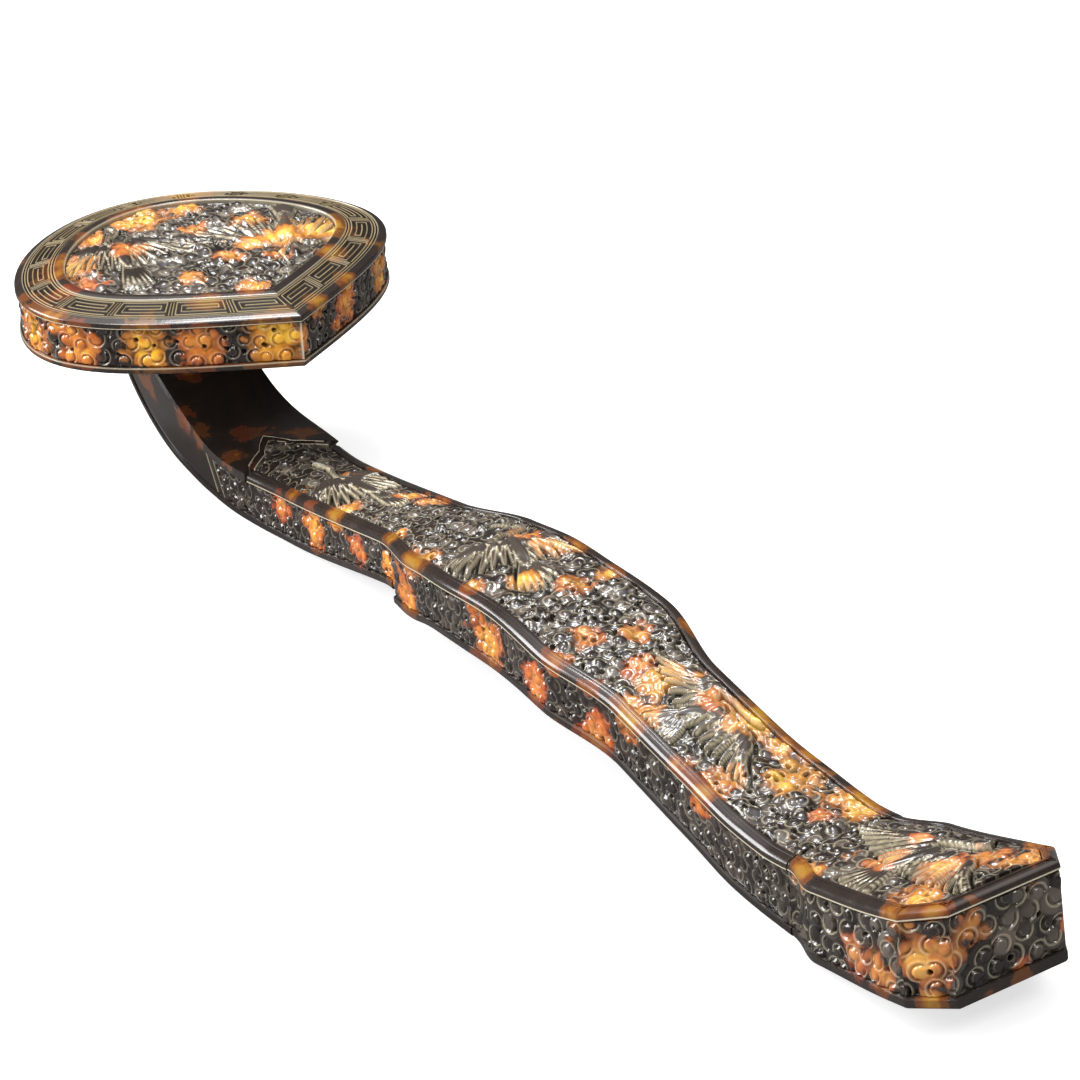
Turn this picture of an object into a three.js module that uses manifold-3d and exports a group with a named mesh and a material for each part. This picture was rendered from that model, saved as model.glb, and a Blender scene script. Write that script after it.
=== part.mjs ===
// Ruyi sceptre of carved tortoiseshell plates glued over a hardwood core, millimetres, +Z up.
// +X runs from the head to the terminal, +Y across the shaft, and the sceptre lies face up at rest.
import * as THREE from 'three';
import { mergeVertices } from 'three/addons/utils/BufferGeometryUtils.js';
import Module from 'manifold-3d';

const wasm = await Module();
wasm.setup();

// Head plate, seen from above: a pointed peach shape, tip towards the terminal
const headLength = 106.5;
const headHalfWidth = 54;
const headWidestFromTip = 54;
const headThickness = 14.6;
const headTipX = -97.9;
const headTipZ = 64;
const headTilt = THREE.MathUtils.degToRad(2.7);
const headRoll = THREE.MathUtils.degToRad(-2.2);
const headTurn = THREE.MathUtils.degToRad(3.5);
const tipReach = 18;
const tipRise = 31;
const shoulderReach = 23;
const backReach = 23;
const backRise = 29;
const headFineSteps = 40;
const headOutlineSteps = 36;
const curveSegments = 8;

// Head plates, across the border from the rim inwards and down the wall
const rimWidth = 2.5;
const rimHeight = 1.7;
const rimRoll = 0.4;
const rimRise = 0.9;
const fretWidth = 8;
const fretRise = 1.6;
const innerBandWidth = 3.2;
const innerBandRise = 0.4;
const headPanelCrown = 1.3;
const headPanelRecess = 1;
const headFloor = -1.2;
const crownShares = [1, 0.94, 0.75, 0.45, 0.15];
const headWallThickness = 2;
const headBackThickness = 1.8;
const headLipRoll = 0.6;

// Main masses of the carving: flying cranes, and the cloud heads between them
const carvingMargin = 1;
const moundSides = 7;
const moundRings = 4;
const craneRise = 1.4;
const cloudRise = 1.1;
const cloudReach = { along: 4.6, across: 3.8 };
const headCloudSpacing = 12;
const shaftCloudSpacing = 12;
const headCraneSpan = 33;
const headCraneLengths = { far: 46, near: 48 };
const shaftCraneSpan = 23;
const shaftCraneLengths = { upper: 66, lower: 45 };

// Parts of a flying crane: each share is of its length forward and of its span to the side
const craneForms = [
  { forward: 0, aside: 0, along: 0.2, across: 0.12, turn: 0 },
  { forward: 0.32, aside: 0.05, along: 0.19, across: 0.05, turn: 0.1 },
  { forward: -0.33, aside: 0, along: 0.17, across: 0.14, turn: 0 },
  { forward: -0.05, aside: 0.27, along: 0.2, across: 0.16, turn: -0.5 },
  { forward: -0.05, aside: -0.27, along: 0.2, across: 0.16, turn: 0.5 },
];

// Lines of the shaft seen from the side: rest bend, crest, dip and the raised terminal
const bend = { x: -133, z: 15.4 };
const crest = { x: 28, z: 33 };
const dip = { x: 137, z: 18.2 };
const terminalEnd = { x: 201, z: 35 };
const terminalCurl = 1.4;
const archStart = { x: -118, z: 0 };
const archRise = { x: 0, z: 15.4 };
const archFall = { x: 36, z: 15.4 };
const archEnd = { x: 137, z: 0 };
const toeRestEnd = 148;
const toeEndHeight = 11.6;
const toeCurl = 1.2;
const endLean = 1.6;

// Neck seen from the side: it hooks up behind the head and forward under it
const neckFaceLine = [
  new THREE.Vector3(-171.5, 0, 58),
  new THREE.Vector3(-179, 0, 46),
  new THREE.Vector3(-180.5, 0, 37.5),
  new THREE.Vector3(-177.5, 0, 31),
  new THREE.Vector3(-170.5, 0, 26.3),
  new THREE.Vector3(-160, 0, 21),
  new THREE.Vector3(-149, 0, 17.3),
  new THREE.Vector3(-141, 0, 15.9),
  new THREE.Vector3(bend.x, 0, bend.z),
];
const neckBackLine = [
  new THREE.Vector3(-191, 0, 58),
  new THREE.Vector3(-200.5, 0, 46),
  new THREE.Vector3(-202.5, 0, 34),
  new THREE.Vector3(-199.5, 0, 22),
  new THREE.Vector3(-189.5, 0, 11.6),
  new THREE.Vector3(-173.5, 0, 3.4),
  new THREE.Vector3(-155, 0, 0.4),
  new THREE.Vector3(-142, 0, 0),
  new THREE.Vector3(bend.x, 0, 0),
];
const neckSteps = 26;

// Places along the shaft where one length of plate ends and the next starts
const seamX = -33;
const seamStep = 4;
const seamFade = 43;
const notchX = 146;
const cornerX = 192;
const shaftSpacing = 5;

// Half widths of the shaft seen from above, and their places from the neck to the terminal
const neckHalf = 14.4;
const bendHalf = 15.6;
const upperHalf = 13.5;
const middleHalf = 18.8;
const waistHalf = 18.1;
const lowerHalf = 14.3;
const lobeEase = 0.8;
const notchHalf = 14.9;
const terminalHalf = 19.6;
const terminalEase = 0.9;
const endHalf = 13.7;
const neckX = -161;
const upperX = { start: -98, end: -40 };
const lobeX = { start: -12, first: 6, waist: 27, second: 50 };
const lowerX = { start: 77, end: 104, flare: 124 };
const terminalX = { flare: 160, full: 186 };
const planLine = [
  { x: neckX, half: neckHalf },
  { x: bend.x, half: bendHalf },
  { x: upperX.start, half: upperHalf },
  { x: upperX.end, half: upperHalf },
  { x: lobeX.start, half: middleHalf - lobeEase },
  { x: lobeX.first, half: middleHalf },
  { x: lobeX.waist, half: waistHalf },
  { x: lobeX.second, half: middleHalf },
  { x: lowerX.start, half: lowerHalf },
  { x: lowerX.end, half: lowerHalf },
  { x: lowerX.flare, half: lowerHalf + lobeEase },
];
const flareLine = [
  { x: notchX, half: notchHalf },
  { x: terminalX.flare, half: terminalHalf - terminalEase },
  { x: terminalX.full, half: terminalHalf },
];

// Shaft plates
const borderWidth = 3.2;
const borderHeight = 3;
const borderBevel = 1;
const borderCamber = 0.2;
const borderShoulder = 2.1;
const panelThickness = 2.8;
const panelCrown = 1.3;
const panelRecess = 0.4;
const crownSpots = [-1, -0.8, -0.4, 0, 0.4, 0.8, 1];
const wallThickness = 2.2;
const wallReveal = 0.4;
const backThickness = 2.5;
const backRoll = 0.8;
const glueGap = 0.25;

// Pointed bracket that closes the plain neck, and the slanted strips below it on the sides
const bracketApexX = -137.5;
const bracketShoulder = { x: -127, y: 4.6 };
const bracketEndX = -117.5;
const bracketFlare = { x: 4, y: 7.4 };
const bracketWaist = { x: 5, y: 4.1 };
const bracketStripWidth = 3;
const stripTopX = -145;
const stripSlant = 7;
const stripWidth = 5.2;

// Hidden joinery
const tenonLength = 10;
const tenonWidth = 12;
const tenonTopBelowHead = 4.5;
const tenonRootZ = 52.4;
const tenonCentreX = -184;
const mortiseClearance = 0.3;
const pegRadius = 2;
const pegLength = 30;
const dowelRadius = 2.6;
const dowelLength = 22;
const dowelClearance = 0.25;
const roundSides = 16;

// Finishes
const carvedShell = new THREE.MeshStandardMaterial({ color: 0x3a2a22, roughness: 0.3, metalness: 0 });
const amberShell = new THREE.MeshStandardMaterial({ color: 0x8a5a24, roughness: 0.28, metalness: 0 });
const plainShell = new THREE.MeshStandardMaterial({ color: 0x1d1512, roughness: 0.15, metalness: 0 });
const hardwood = new THREE.MeshStandardMaterial({ color: 0x5b3a24, roughness: 0.7, metalness: 0 });
const bamboo = new THREE.MeshStandardMaterial({ color: 0xc2a468, roughness: 0.6, metalness: 0 });

const sceptre = new THREE.Group();
sceptre.name = 'ruyi_sceptre';

function addPiece(parent, name, geometry, material) {
  const mesh = new THREE.Mesh(geometry, material);
  mesh.name = name;
  parent.add(mesh);
}

// Signed volume of an indexed mesh, positive when its faces point out
function signedVolume(position, index) {
  let total = 0;
  const a = new THREE.Vector3();
  const b = new THREE.Vector3();
  const c = new THREE.Vector3();
  for (let i = 0; i < index.length; i += 3) {
    a.fromBufferAttribute(position, index[i]);
    b.fromBufferAttribute(position, index[i + 1]);
    c.fromBufferAttribute(position, index[i + 2]);
    total += a.dot(b.cross(c));
  }
  return total;
}

// Closed skin over a row of rings that all have the same number of points.
// The section gives one ring's outline in its own plane, for the two end caps.
function loft(rings, section, closed = false) {
  const count = section.length;
  const points = rings.flat();
  const index = [];
  const spans = closed ? rings.length : rings.length - 1;
  for (let i = 0; i < spans; i += 1) {
    const here = i * count;
    const next = ((i + 1) % rings.length) * count;
    for (let j = 0; j < count; j += 1) {
      const k = (j + 1) % count;
      index.push(here + j, here + k, next + k);
      index.push(here + j, next + k, next + j);
    }
  }
  if (!closed) {
    const last = (rings.length - 1) * count;
    const along = Math.sign(THREE.ShapeUtils.area(section));
    for (const [a, b, c] of THREE.ShapeUtils.triangulateShape(section, [])) {
      const turn = Math.sign(THREE.ShapeUtils.area([section[a], section[b], section[c]]));
      const [p, q, r] = turn === along ? [a, b, c] : [a, c, b];
      index.push(r, q, p);
      index.push(last + p, last + q, last + r);
    }
  }
  const geometry = new THREE.BufferGeometry().setFromPoints(points);
  if (signedVolume(geometry.getAttribute('position'), index) < 0) index.reverse();
  geometry.setIndex(index);
  return geometry;
}

function toSolid(geometry) {
  const bare = geometry.clone();
  bare.deleteAttribute('normal');
  bare.deleteAttribute('uv');
  const merged = mergeVertices(bare, 1e-4);
  const mesh = new wasm.Mesh({
    numProp: 3,
    vertProperties: new Float32Array(merged.getAttribute('position').array),
    triVerts: new Uint32Array(merged.getIndex().array),
  });
  return new wasm.Manifold(mesh);
}

function toGeometry(solid) {
  const mesh = solid.getMesh();
  const geometry = new THREE.BufferGeometry();
  geometry.setAttribute('position', new THREE.BufferAttribute(mesh.vertProperties, 3));
  geometry.setIndex(new THREE.BufferAttribute(mesh.triVerts, 1));
  return geometry;
}

function subtract(geometry, ...cutters) {
  const solid = cutters.reduce((left, cutter) => left.subtract(toSolid(cutter)), toSolid(geometry));
  return toGeometry(solid);
}

function intersect(geometry, keeper) {
  return toGeometry(toSolid(geometry).intersect(toSolid(keeper)));
}

function unite(geometry, added) {
  return toGeometry(toSolid(geometry).add(toSolid(added)));
}

// Height of the middle of the top face and of the underside, x at or past the neck bend
function eased(x, from, to) {
  return from.z + (to.z - from.z) * THREE.MathUtils.smoothstep(x, from.x, to.x);
}

function topZ(x) {
  if (x < crest.x) return eased(x, bend, crest);
  if (x < dip.x) return eased(x, crest, dip);
  const along = (x - dip.x) / (terminalEnd.x - dip.x);
  return dip.z + (terminalEnd.z - dip.z) * along ** terminalCurl;
}

function undersideZ(x) {
  if (x < archFall.x) {
    const lobe = x > seamX ? 1 - THREE.MathUtils.smoothstep(x, seamX, seamX + seamFade) : 0;
    return eased(x, archStart, archRise) - seamStep * lobe;
  }
  if (x < archEnd.x) return eased(x, archFall, archEnd);
  if (x < toeRestEnd) return 0;
  const along = (x - toeRestEnd) / (terminalEnd.x - toeRestEnd);
  return toeEndHeight * along ** toeCurl;
}

// Half width of the shaft at x, eased between the places named in an outline
function easedHalf(line, x) {
  const last = line[line.length - 1];
  if (x <= line[0].x) return line[0].half;
  if (x >= last.x) return last.half;
  const i = line.findIndex((place) => place.x > x);
  const from = line[i - 1];
  const to = line[i];
  return from.half + (to.half - from.half) * THREE.MathUtils.smoothstep(x, from.x, to.x);
}

const shaftHalf = (x) => easedHalf(planLine, x);

// Half width of the terminal, drawn in by an inset from its sides, corners and end
function terminalHalfAt(x, inset = 0) {
  const side = easedHalf(flareLine, x) - inset;
  const slope = (terminalHalf - endHalf) / (terminalEnd.x - cornerX);
  const corner = endHalf + (terminalEnd.x - x) * slope - inset * Math.hypot(1, slope);
  return Math.min(side, corner);
}

// A rib is one station of the box: its top point, underside point and half width
function makeRib(top, under, half) {
  const down = under.clone().sub(top);
  const depth = down.length();
  return { top, down: down.normalize(), depth, half };
}

function shaftRib(x, halfAt) {
  const lean = endLean * Math.max(0, (x - notchX) / (terminalEnd.x - notchX));
  const top = new THREE.Vector3(x, 0, topZ(x));
  const under = new THREE.Vector3(x + lean, 0, undersideZ(x));
  return makeRib(top, under, halfAt(x));
}

function shaftRibs(from, to, halfAt) {
  const steps = Math.ceil((to - from) / shaftSpacing);
  const ribs = [];
  for (let i = 0; i <= steps; i += 1) {
    ribs.push(shaftRib(from + ((to - from) * i) / steps, halfAt));
  }
  return ribs;
}

function neckRibs() {
  const face = new THREE.CatmullRomCurve3(neckFaceLine);
  const back = new THREE.CatmullRomCurve3(neckBackLine);
  const ribs = [];
  for (let i = 0; i <= neckSteps; i += 1) {
    const top = face.getPoint(i / neckSteps);
    const under = back.getPoint(i / neckSteps);
    under.z = Math.max(under.z, 0);
    ribs.push(makeRib(top, under, shaftHalf(top.x)));
  }
  return ribs;
}

const joint = glueGap / 2;
const neckLength = neckRibs();
const upperLength = shaftRibs(bend.x + glueGap, seamX - joint, shaftHalf);
const lowerLength = shaftRibs(seamX + joint, notchX - joint, shaftHalf);
const neckAndUpper = [...neckLength, ...upperLength.slice(1)];

// Sections are lists of points across a rib: y from the middle, drop from the top face
function sweep(ribs, sectionAt) {
  const rings = ribs.map((rib) =>
    sectionAt(rib).map(({ y, drop }) => {
      const point = rib.top.clone().addScaledVector(rib.down, drop);
      point.y = y;
      return point;
    }),
  );
  const section = sectionAt(ribs[0]).map(({ y, drop }) => new THREE.Vector2(y, drop));
  return loft(rings, section);
}

function borderSection(side) {
  return (rib) => [
    { y: side * (rib.half - borderWidth), drop: 0 },
    { y: side * (rib.half - borderBevel), drop: borderCamber },
    { y: side * rib.half, drop: borderShoulder },
    { y: side * rib.half, drop: borderHeight },
    { y: side * (rib.half - borderWidth), drop: borderHeight },
  ];
}

// Crowned plate between the borders, its middle standing higher than its edges
function crownedSection(reachIn, recess, crown, thickness) {
  return (rib) => {
    const reach = rib.half - reachIn;
    const upper = crownSpots.map((spot) => ({ y: reach * spot, drop: recess - crown * (1 - spot * spot) }));
    return [...upper, { y: reach, drop: thickness }, { y: -reach, drop: thickness }];
  };
}

const carvedSection = crownedSection(borderWidth + glueGap, panelRecess, panelCrown, panelThickness);

function wallSection(side, topDrop) {
  return (rib) => {
    const outer = rib.half - wallReveal;
    const floor = rib.depth - backThickness - glueGap;
    return [
      { y: side * outer, drop: topDrop },
      { y: side * outer, drop: floor },
      { y: side * (outer - wallThickness), drop: floor },
      { y: side * (outer - wallThickness), drop: topDrop },
    ];
  };
}

function backSection(rib) {
  const floor = rib.depth;
  const ceiling = rib.depth - backThickness;
  const shoulder = rib.half - backRoll;
  return [
    { y: -shoulder, drop: floor },
    { y: shoulder, drop: floor },
    { y: rib.half, drop: floor - backRoll },
    { y: rib.half, drop: ceiling + backRoll / 2 },
    { y: shoulder, drop: ceiling },
    { y: -shoulder, drop: ceiling },
    { y: -rib.half, drop: ceiling + backRoll / 2 },
    { y: -rib.half, drop: floor - backRoll },
  ];
}

function coreSection(rib) {
  const reach = rib.half - wallReveal - wallThickness - glueGap;
  const upperReach = rib.half - borderWidth - glueGap;
  const ceiling = borderHeight + glueGap;
  const floor = rib.depth - backThickness - glueGap;
  return [
    { y: -upperReach, drop: ceiling },
    { y: upperReach, drop: ceiling },
    { y: reach, drop: ceiling + glueGap },
    { y: reach, drop: floor },
    { y: -reach, drop: floor },
    { y: -reach, drop: ceiling + glueGap },
  ];
}

// Upright prism over an outline in plan
function planPrism(shape, low, high) {
  const depth = high - low;
  const geometry = new THREE.ExtrudeGeometry(shape, { depth, bevelEnabled: false, curveSegments });
  return geometry.translate(0, 0, low);
}

// Low rounded mound on a carved face, its middle on the face
function mound(x, y, z, along, across, rise, heading) {
  const dome = new THREE.SphereGeometry(1, moundSides, moundRings);
  dome.rotateX(Math.PI / 2);
  dome.scale(along, across, rise);
  dome.rotateZ(heading);
  return dome.translate(x, y, z);
}

// Body, neck, tail and two wings of a flying crane
function craneMasses(crane, surface) {
  const heading = THREE.MathUtils.degToRad(crane.heading);
  return craneForms.map(({ forward, aside, along, across, turn }) => {
    const spot = new THREE.Vector2(forward * crane.length, aside * crane.span);
    spot.rotateAround(new THREE.Vector2(), heading);
    const x = crane.x + spot.x;
    const y = crane.y + spot.y;
    const reach = { along: along * crane.length, across: across * crane.span };
    return mound(x, y, surface(x, y), reach.along, reach.across, craneRise, heading + turn);
  });
}

// Whether a place is clear of a crane's body and wings
function clearOf(crane, x, y) {
  const ahead = (x - crane.x) / (crane.length / 2);
  const beside = (y - crane.y) / (crane.span / 2);
  return Math.hypot(ahead, beside) > 1;
}

// Cloud heads in staggered rows over a field, where its cranes leave room
function cloudMasses(field, spacing, cranes, surface) {
  const clouds = [];
  const rows = Math.floor(field.reachY / spacing);
  const columns = Math.floor(field.reachX / spacing);
  for (let row = -rows; row <= rows; row += 1) {
    const stagger = row % 2 === 0 ? 0 : spacing / 2;
    for (let column = -columns; column <= columns; column += 1) {
      const x = field.x + column * spacing + stagger;
      const y = row * spacing;
      if (cranes.every((crane) => clearOf(crane, x, y))) {
        clouds.push(mound(x, y, surface(x, y), cloudReach.along, cloudReach.across, cloudRise, 0));
      }
    }
  }
  return clouds;
}

// A plate with masses standing on it, kept inside the room it has
function withMasses(plate, masses, room) {
  const joined = masses.map(toSolid).reduce((all, form) => all.add(form));
  return toGeometry(toSolid(plate).add(joined.intersect(toSolid(room))));
}

// Prism across the sceptre over an outline seen from the side
function sidePrism(points, halfSpan) {
  const shape = new THREE.Shape(points.map(([x, z]) => new THREE.Vector2(x, z)));
  const geometry = new THREE.ExtrudeGeometry(shape, { depth: 2 * halfSpan, bevelEnabled: false });
  return geometry.rotateX(Math.PI / 2).translate(0, halfSpan, 0);
}

// Everything on the neck's side of the pointed bracket, moved along the shaft by shift
function bracketSide(shift) {
  const reach = 2 * bendHalf;
  const far = -2 * headLength;
  const apex = bracketApexX + shift;
  const shoulder = bracketShoulder.x + shift;
  const end = bracketEndX + shift;
  const shape = new THREE.Shape();
  shape.moveTo(far, -reach);
  shape.lineTo(end, -reach);
  shape.lineTo(end, -bendHalf);
  shape.quadraticCurveTo(shoulder + bracketFlare.x, -bracketFlare.y, shoulder, -bracketShoulder.y);
  shape.quadraticCurveTo(shoulder - bracketWaist.x, -bracketWaist.y, apex, 0);
  shape.quadraticCurveTo(shoulder - bracketWaist.x, bracketWaist.y, shoulder, bracketShoulder.y);
  shape.quadraticCurveTo(shoulder + bracketFlare.x, bracketFlare.y, end, bendHalf);
  shape.lineTo(end, reach);
  shape.lineTo(far, reach);
  return planPrism(shape, -headTipZ, 2 * headTipZ);
}

// Everything behind a slanted line on the neck's side, seen from the side
function slantSide(shift) {
  const top = stripTopX + shift;
  const low = top + stripSlant;
  const far = -3 * headLength;
  const above = 2 * stripSlant;
  const outline = [
    [far, -above],
    [low + stripSlant, -above],
    [top, above],
    [top, headTipZ],
    [far, headTipZ],
  ];
  return sidePrism(outline, 2 * bendHalf);
}

// Head outline from the tip round one lobe to the middle of the back, tip at the origin
function headHalfOutline() {
  const path = new THREE.Path();
  path.moveTo(0, 0);
  path.bezierCurveTo(
    -tipReach, tipRise,
    -(headWidestFromTip - shoulderReach), headHalfWidth,
    -headWidestFromTip, headHalfWidth,
  );
  path.bezierCurveTo(
    -(headWidestFromTip + backReach), headHalfWidth,
    -headLength, backRise,
    -headLength, 0,
  );
  return path.getPoints(headFineSteps);
}

// The head's whole outline drawn in by an inset, always with the same number of points
function headOutline(inset) {
  const tip = new THREE.Vector2(-inset / Math.sin(Math.atan2(tipRise, tipReach)), 0);
  const back = new THREE.Vector2(-headLength + inset, 0);
  const drawnIn = withInward(headHalfOutline(), false)
    .slice(1, -1)
    .map((station) => insetPoint(station, inset))
    .filter((point) => point.y > 0 && point.x < tip.x);
  const half = new THREE.Path([tip, ...drawnIn, back]).getSpacedPoints(headOutlineSteps);
  const mirrored = half.slice(1, -1).reverse().map((point) => new THREE.Vector2(point.x, -point.y));
  return [...half, ...mirrored];
}

// Outline points, anticlockwise in plan, each with the vector that moves it inwards by 1 mm of inset
function withInward(points, closed) {
  const count = points.length;
  return points.map((point, i) => {
    const before = closed ? points[(i + count - 1) % count] : points[Math.max(i - 1, 0)];
    const after = closed ? points[(i + 1) % count] : points[Math.min(i + 1, count - 1)];
    const arriving = point.clone().sub(i > 0 || closed ? before : point);
    const leaving = after.clone().sub(point);
    if (arriving.lengthSq() === 0) arriving.copy(leaving);
    if (leaving.lengthSq() === 0) leaving.copy(arriving);
    arriving.normalize();
    leaving.normalize();
    const normal = new THREE.Vector2(-arriving.y, arriving.x);
    const mitre = normal.clone().add(new THREE.Vector2(-leaving.y, leaving.x)).normalize();
    return { point, inward: mitre.divideScalar(mitre.dot(normal)) };
  });
}

function insetPoint(station, inset) {
  return station.point.clone().addScaledVector(station.inward, inset);
}

// The head's outline drawn in by an inset, as points at one height
function headLine(inset, z) {
  return headOutline(inset).map(({ x, y }) => new THREE.Vector3(x, y, z));
}

// Moulding that follows the head's outline; its section lists inset from the rim and height
function headMoulding(section) {
  const lines = section.map(([inset, z]) => headLine(inset, z));
  const rings = lines[0].map((_, i) => lines.map((line) => line[i]));
  return loft(rings, section.map(([inset, z]) => new THREE.Vector2(inset, z)), true);
}

const fretInset = rimWidth + glueGap;
const innerBandInset = fretInset + fretWidth + glueGap;
const headPanelInset = innerBandInset + innerBandWidth + glueGap;
const headBackTop = -headThickness + headBackThickness;
const fretTop = rimRise + fretRise;
const innerBandTop = fretTop + innerBandRise;
const headPanelEdge = innerBandTop - headPanelRecess;

// Sloping rim over the carved wall, with the rising bands that frame the carved panel inside it
function addHeadBorder(head) {
  const rim = [
    [0, -rimHeight],
    [0, -rimRoll],
    [rimRoll, rimRoll / 2],
    [rimWidth, rimRise],
    [rimWidth, -rimHeight],
  ];
  addPiece(head, 'head_edge_moulding', headMoulding(rim), plainShell);
  const fret = [
    [fretInset, rimRise],
    [fretInset + fretWidth, fretTop],
    [fretInset + fretWidth, headFloor],
    [fretInset, headFloor],
  ];
  addPiece(head, 'head_fret_border', headMoulding(fret), plainShell);
  const band = [
    [innerBandInset, fretTop],
    [innerBandInset + innerBandWidth / 2, innerBandTop],
    [innerBandInset + innerBandWidth, innerBandTop],
    [innerBandInset + innerBandWidth, headFloor],
    [innerBandInset, headFloor],
  ];
  addPiece(head, 'head_inner_band', headMoulding(band), plainShell);
}

// Height of the head panel's crown over a share of the way out to its edge
function headCrownAt(share) {
  return headPanelEdge + headPanelCrown * (1 - share * share);
}

// Carved panel, stepped up towards its middle as a low crown, with the masses of its carving
function addHeadPanel(head) {
  const centreX = -headWidestFromTip;
  const edge = headOutline(headPanelInset);
  const rings = crownShares.map((share) =>
    edge.map((point) => {
      const x = centreX + (point.x - centreX) * share;
      return new THREE.Vector3(x, point.y * share, headCrownAt(share));
    }),
  );
  const panel = loft([headLine(headPanelInset, headFloor), ...rings], edge);
  const reach = headHalfWidth - headPanelInset;
  const surface = (x, y) => headCrownAt(Math.min(Math.hypot(x - centreX, y) / reach, 1));
  const field = { x: centreX, reachX: reach, reachY: reach };
  const span = headCraneSpan;
  const cranes = [
    { x: centreX - reach / 4, y: -reach / 2, heading: 165, length: headCraneLengths.near, span },
    { x: centreX, y: reach * 2 / 3, heading: -28, length: headCraneLengths.far, span },
  ];
  const masses = [
    ...cranes.flatMap((crane) => craneMasses(crane, surface)),
    ...cloudMasses(field, headCloudSpacing, cranes, surface),
  ];
  const room = planPrism(new THREE.Shape(headOutline(headPanelInset + carvingMargin)), 0, headTipZ);
  addPiece(head, 'head_carved_panel', withMasses(panel, masses, room), carvedShell);
}

// Four carved wall plates, mitred at the tip and butted at the lobes and the back
function addHeadWalls(head) {
  const low = headBackTop + glueGap;
  const high = -rimHeight - glueGap;
  const section = [
    [wallReveal, high],
    [wallReveal, low],
    [wallReveal + headWallThickness, low],
    [wallReveal + headWallThickness, high],
  ];
  const ring = headMoulding(section);
  const reach = headLength;
  const quarters = {
    head_wall_front_left: [-headWidestFromTip + joint, reach, -reach, -joint],
    head_wall_front_right: [-headWidestFromTip + joint, reach, joint, reach],
    head_wall_back_left: [-2 * reach, -headWidestFromTip - joint, -reach, -joint],
    head_wall_back_right: [-2 * reach, -headWidestFromTip - joint, joint, reach],
  };
  for (const [name, [x0, x1, y0, y1]] of Object.entries(quarters)) {
    const keeper = new THREE.BoxGeometry(x1 - x0, y1 - y0, 2 * headThickness);
    keeper.translate((x0 + x1) / 2, (y0 + y1) / 2, 0);
    addPiece(head, name, intersect(ring, keeper), amberShell);
  }
}

// Back plate with its rolled lip under the walls
function headBackPlate() {
  const floor = -headThickness;
  const section = [
    [headLipRoll, floor],
    [0, floor + headLipRoll],
    [0, headBackTop - headLipRoll / 2],
    [headLipRoll, headBackTop],
  ];
  return loft(section.map(([inset, z]) => headLine(inset, z)), headOutline(0));
}

function headCore() {
  const inset = wallReveal + headWallThickness + glueGap;
  return planPrism(new THREE.Shape(headOutline(inset)), headBackTop + glueGap, headFloor - glueGap);
}

// Places of the tenon, in the head's own frame and in the sceptre's
const headMatrix = new THREE.Matrix4()
  .makeRotationFromEuler(new THREE.Euler(headRoll, headTilt, headTurn, 'YXZ'))
  .setPosition(headTipX, 0, headTipZ);
const headInverse = headMatrix.clone().invert();

function tenon(clearance) {
  const top = new THREE.Vector3(tenonCentreX, 0, headTipZ).applyMatrix4(headInverse);
  const crown = new THREE.Vector3(top.x, top.y, -tenonTopBelowHead).applyMatrix4(headMatrix);
  const high = crown.z + clearance;
  const length = tenonLength + 2 * clearance;
  const box = new THREE.BoxGeometry(length, tenonWidth + 2 * clearance, high - tenonRootZ);
  return box.translate(tenonCentreX, 0, (high + tenonRootZ) / 2);
}

function headPeg(clearance) {
  const local = new THREE.Vector3(tenonCentreX, 0, headTipZ).applyMatrix4(headInverse);
  const radius = pegRadius + clearance;
  const peg = new THREE.CylinderGeometry(radius, radius, pegLength + 2 * clearance, roundSides);
  return peg.translate(local.x, local.y, (headFloor + headBackTop) / 2);
}

function buildHead() {
  const head = new THREE.Group();
  head.name = 'head';
  head.applyMatrix4(headMatrix);
  addHeadBorder(head);
  addHeadPanel(head);
  addHeadWalls(head);
  const mortise = tenon(mortiseClearance).applyMatrix4(headInverse);
  addPiece(head, 'head_back_plate', subtract(headBackPlate(), mortise), plainShell);
  addPiece(head, 'head_core', subtract(headCore(), mortise, headPeg(dowelClearance)), hardwood);
  addPiece(head, 'head_peg', headPeg(0), bamboo);
  sceptre.add(head);
}

// Everything above the seat under the head, to trim the neck's pieces flush with it
function aboveHeadSeat() {
  const reach = 2 * headLength;
  const box = new THREE.BoxGeometry(2 * reach, reach, reach);
  box.translate(0, 0, reach / 2 - headThickness - glueGap);
  return box.applyMatrix4(headMatrix);
}

// Plain polished neck: face, sides and back around a core whose tenon carries the head
function buildNeck() {
  const faceSection = (rib) => [
    { y: -rib.half + borderBevel, drop: 0 },
    { y: rib.half - borderBevel, drop: 0 },
    { y: rib.half, drop: borderBevel },
    { y: rib.half, drop: borderHeight },
    { y: -rib.half, drop: borderHeight },
    { y: -rib.half, drop: borderBevel },
  ];
  const seat = aboveHeadSeat();
  const faceEnd = upperLength.filter((rib) => rib.top.x < bracketEndX + 2 * shaftSpacing);
  const face = subtract(sweep([...neckLength, ...faceEnd.slice(1)], faceSection), seat);
  addPiece(sceptre, 'neck_face_plate', intersect(face, bracketSide(-glueGap)), plainShell);
  const topDrop = borderHeight + glueGap;
  for (const [name, side] of [['left', -1], ['right', 1]]) {
    const wall = subtract(sweep(neckLength, wallSection(side, topDrop)), seat);
    addPiece(sceptre, `neck_wall_${name}`, intersect(wall, slantSide(-glueGap)), plainShell);
  }
  addPiece(sceptre, 'neck_back_plate', subtract(sweep(neckLength, backSection), seat), plainShell);
  const dowel = dowelAt(bend.x, dowelClearance);
  const core = subtract(sweep(neckLength, coreSection), seat, dowel);
  const peg = headPeg(dowelClearance).applyMatrix4(headMatrix);
  const keyed = subtract(tenon(0), peg);
  addPiece(sceptre, 'neck_core', unite(core, keyed), hardwood);
}

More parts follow.
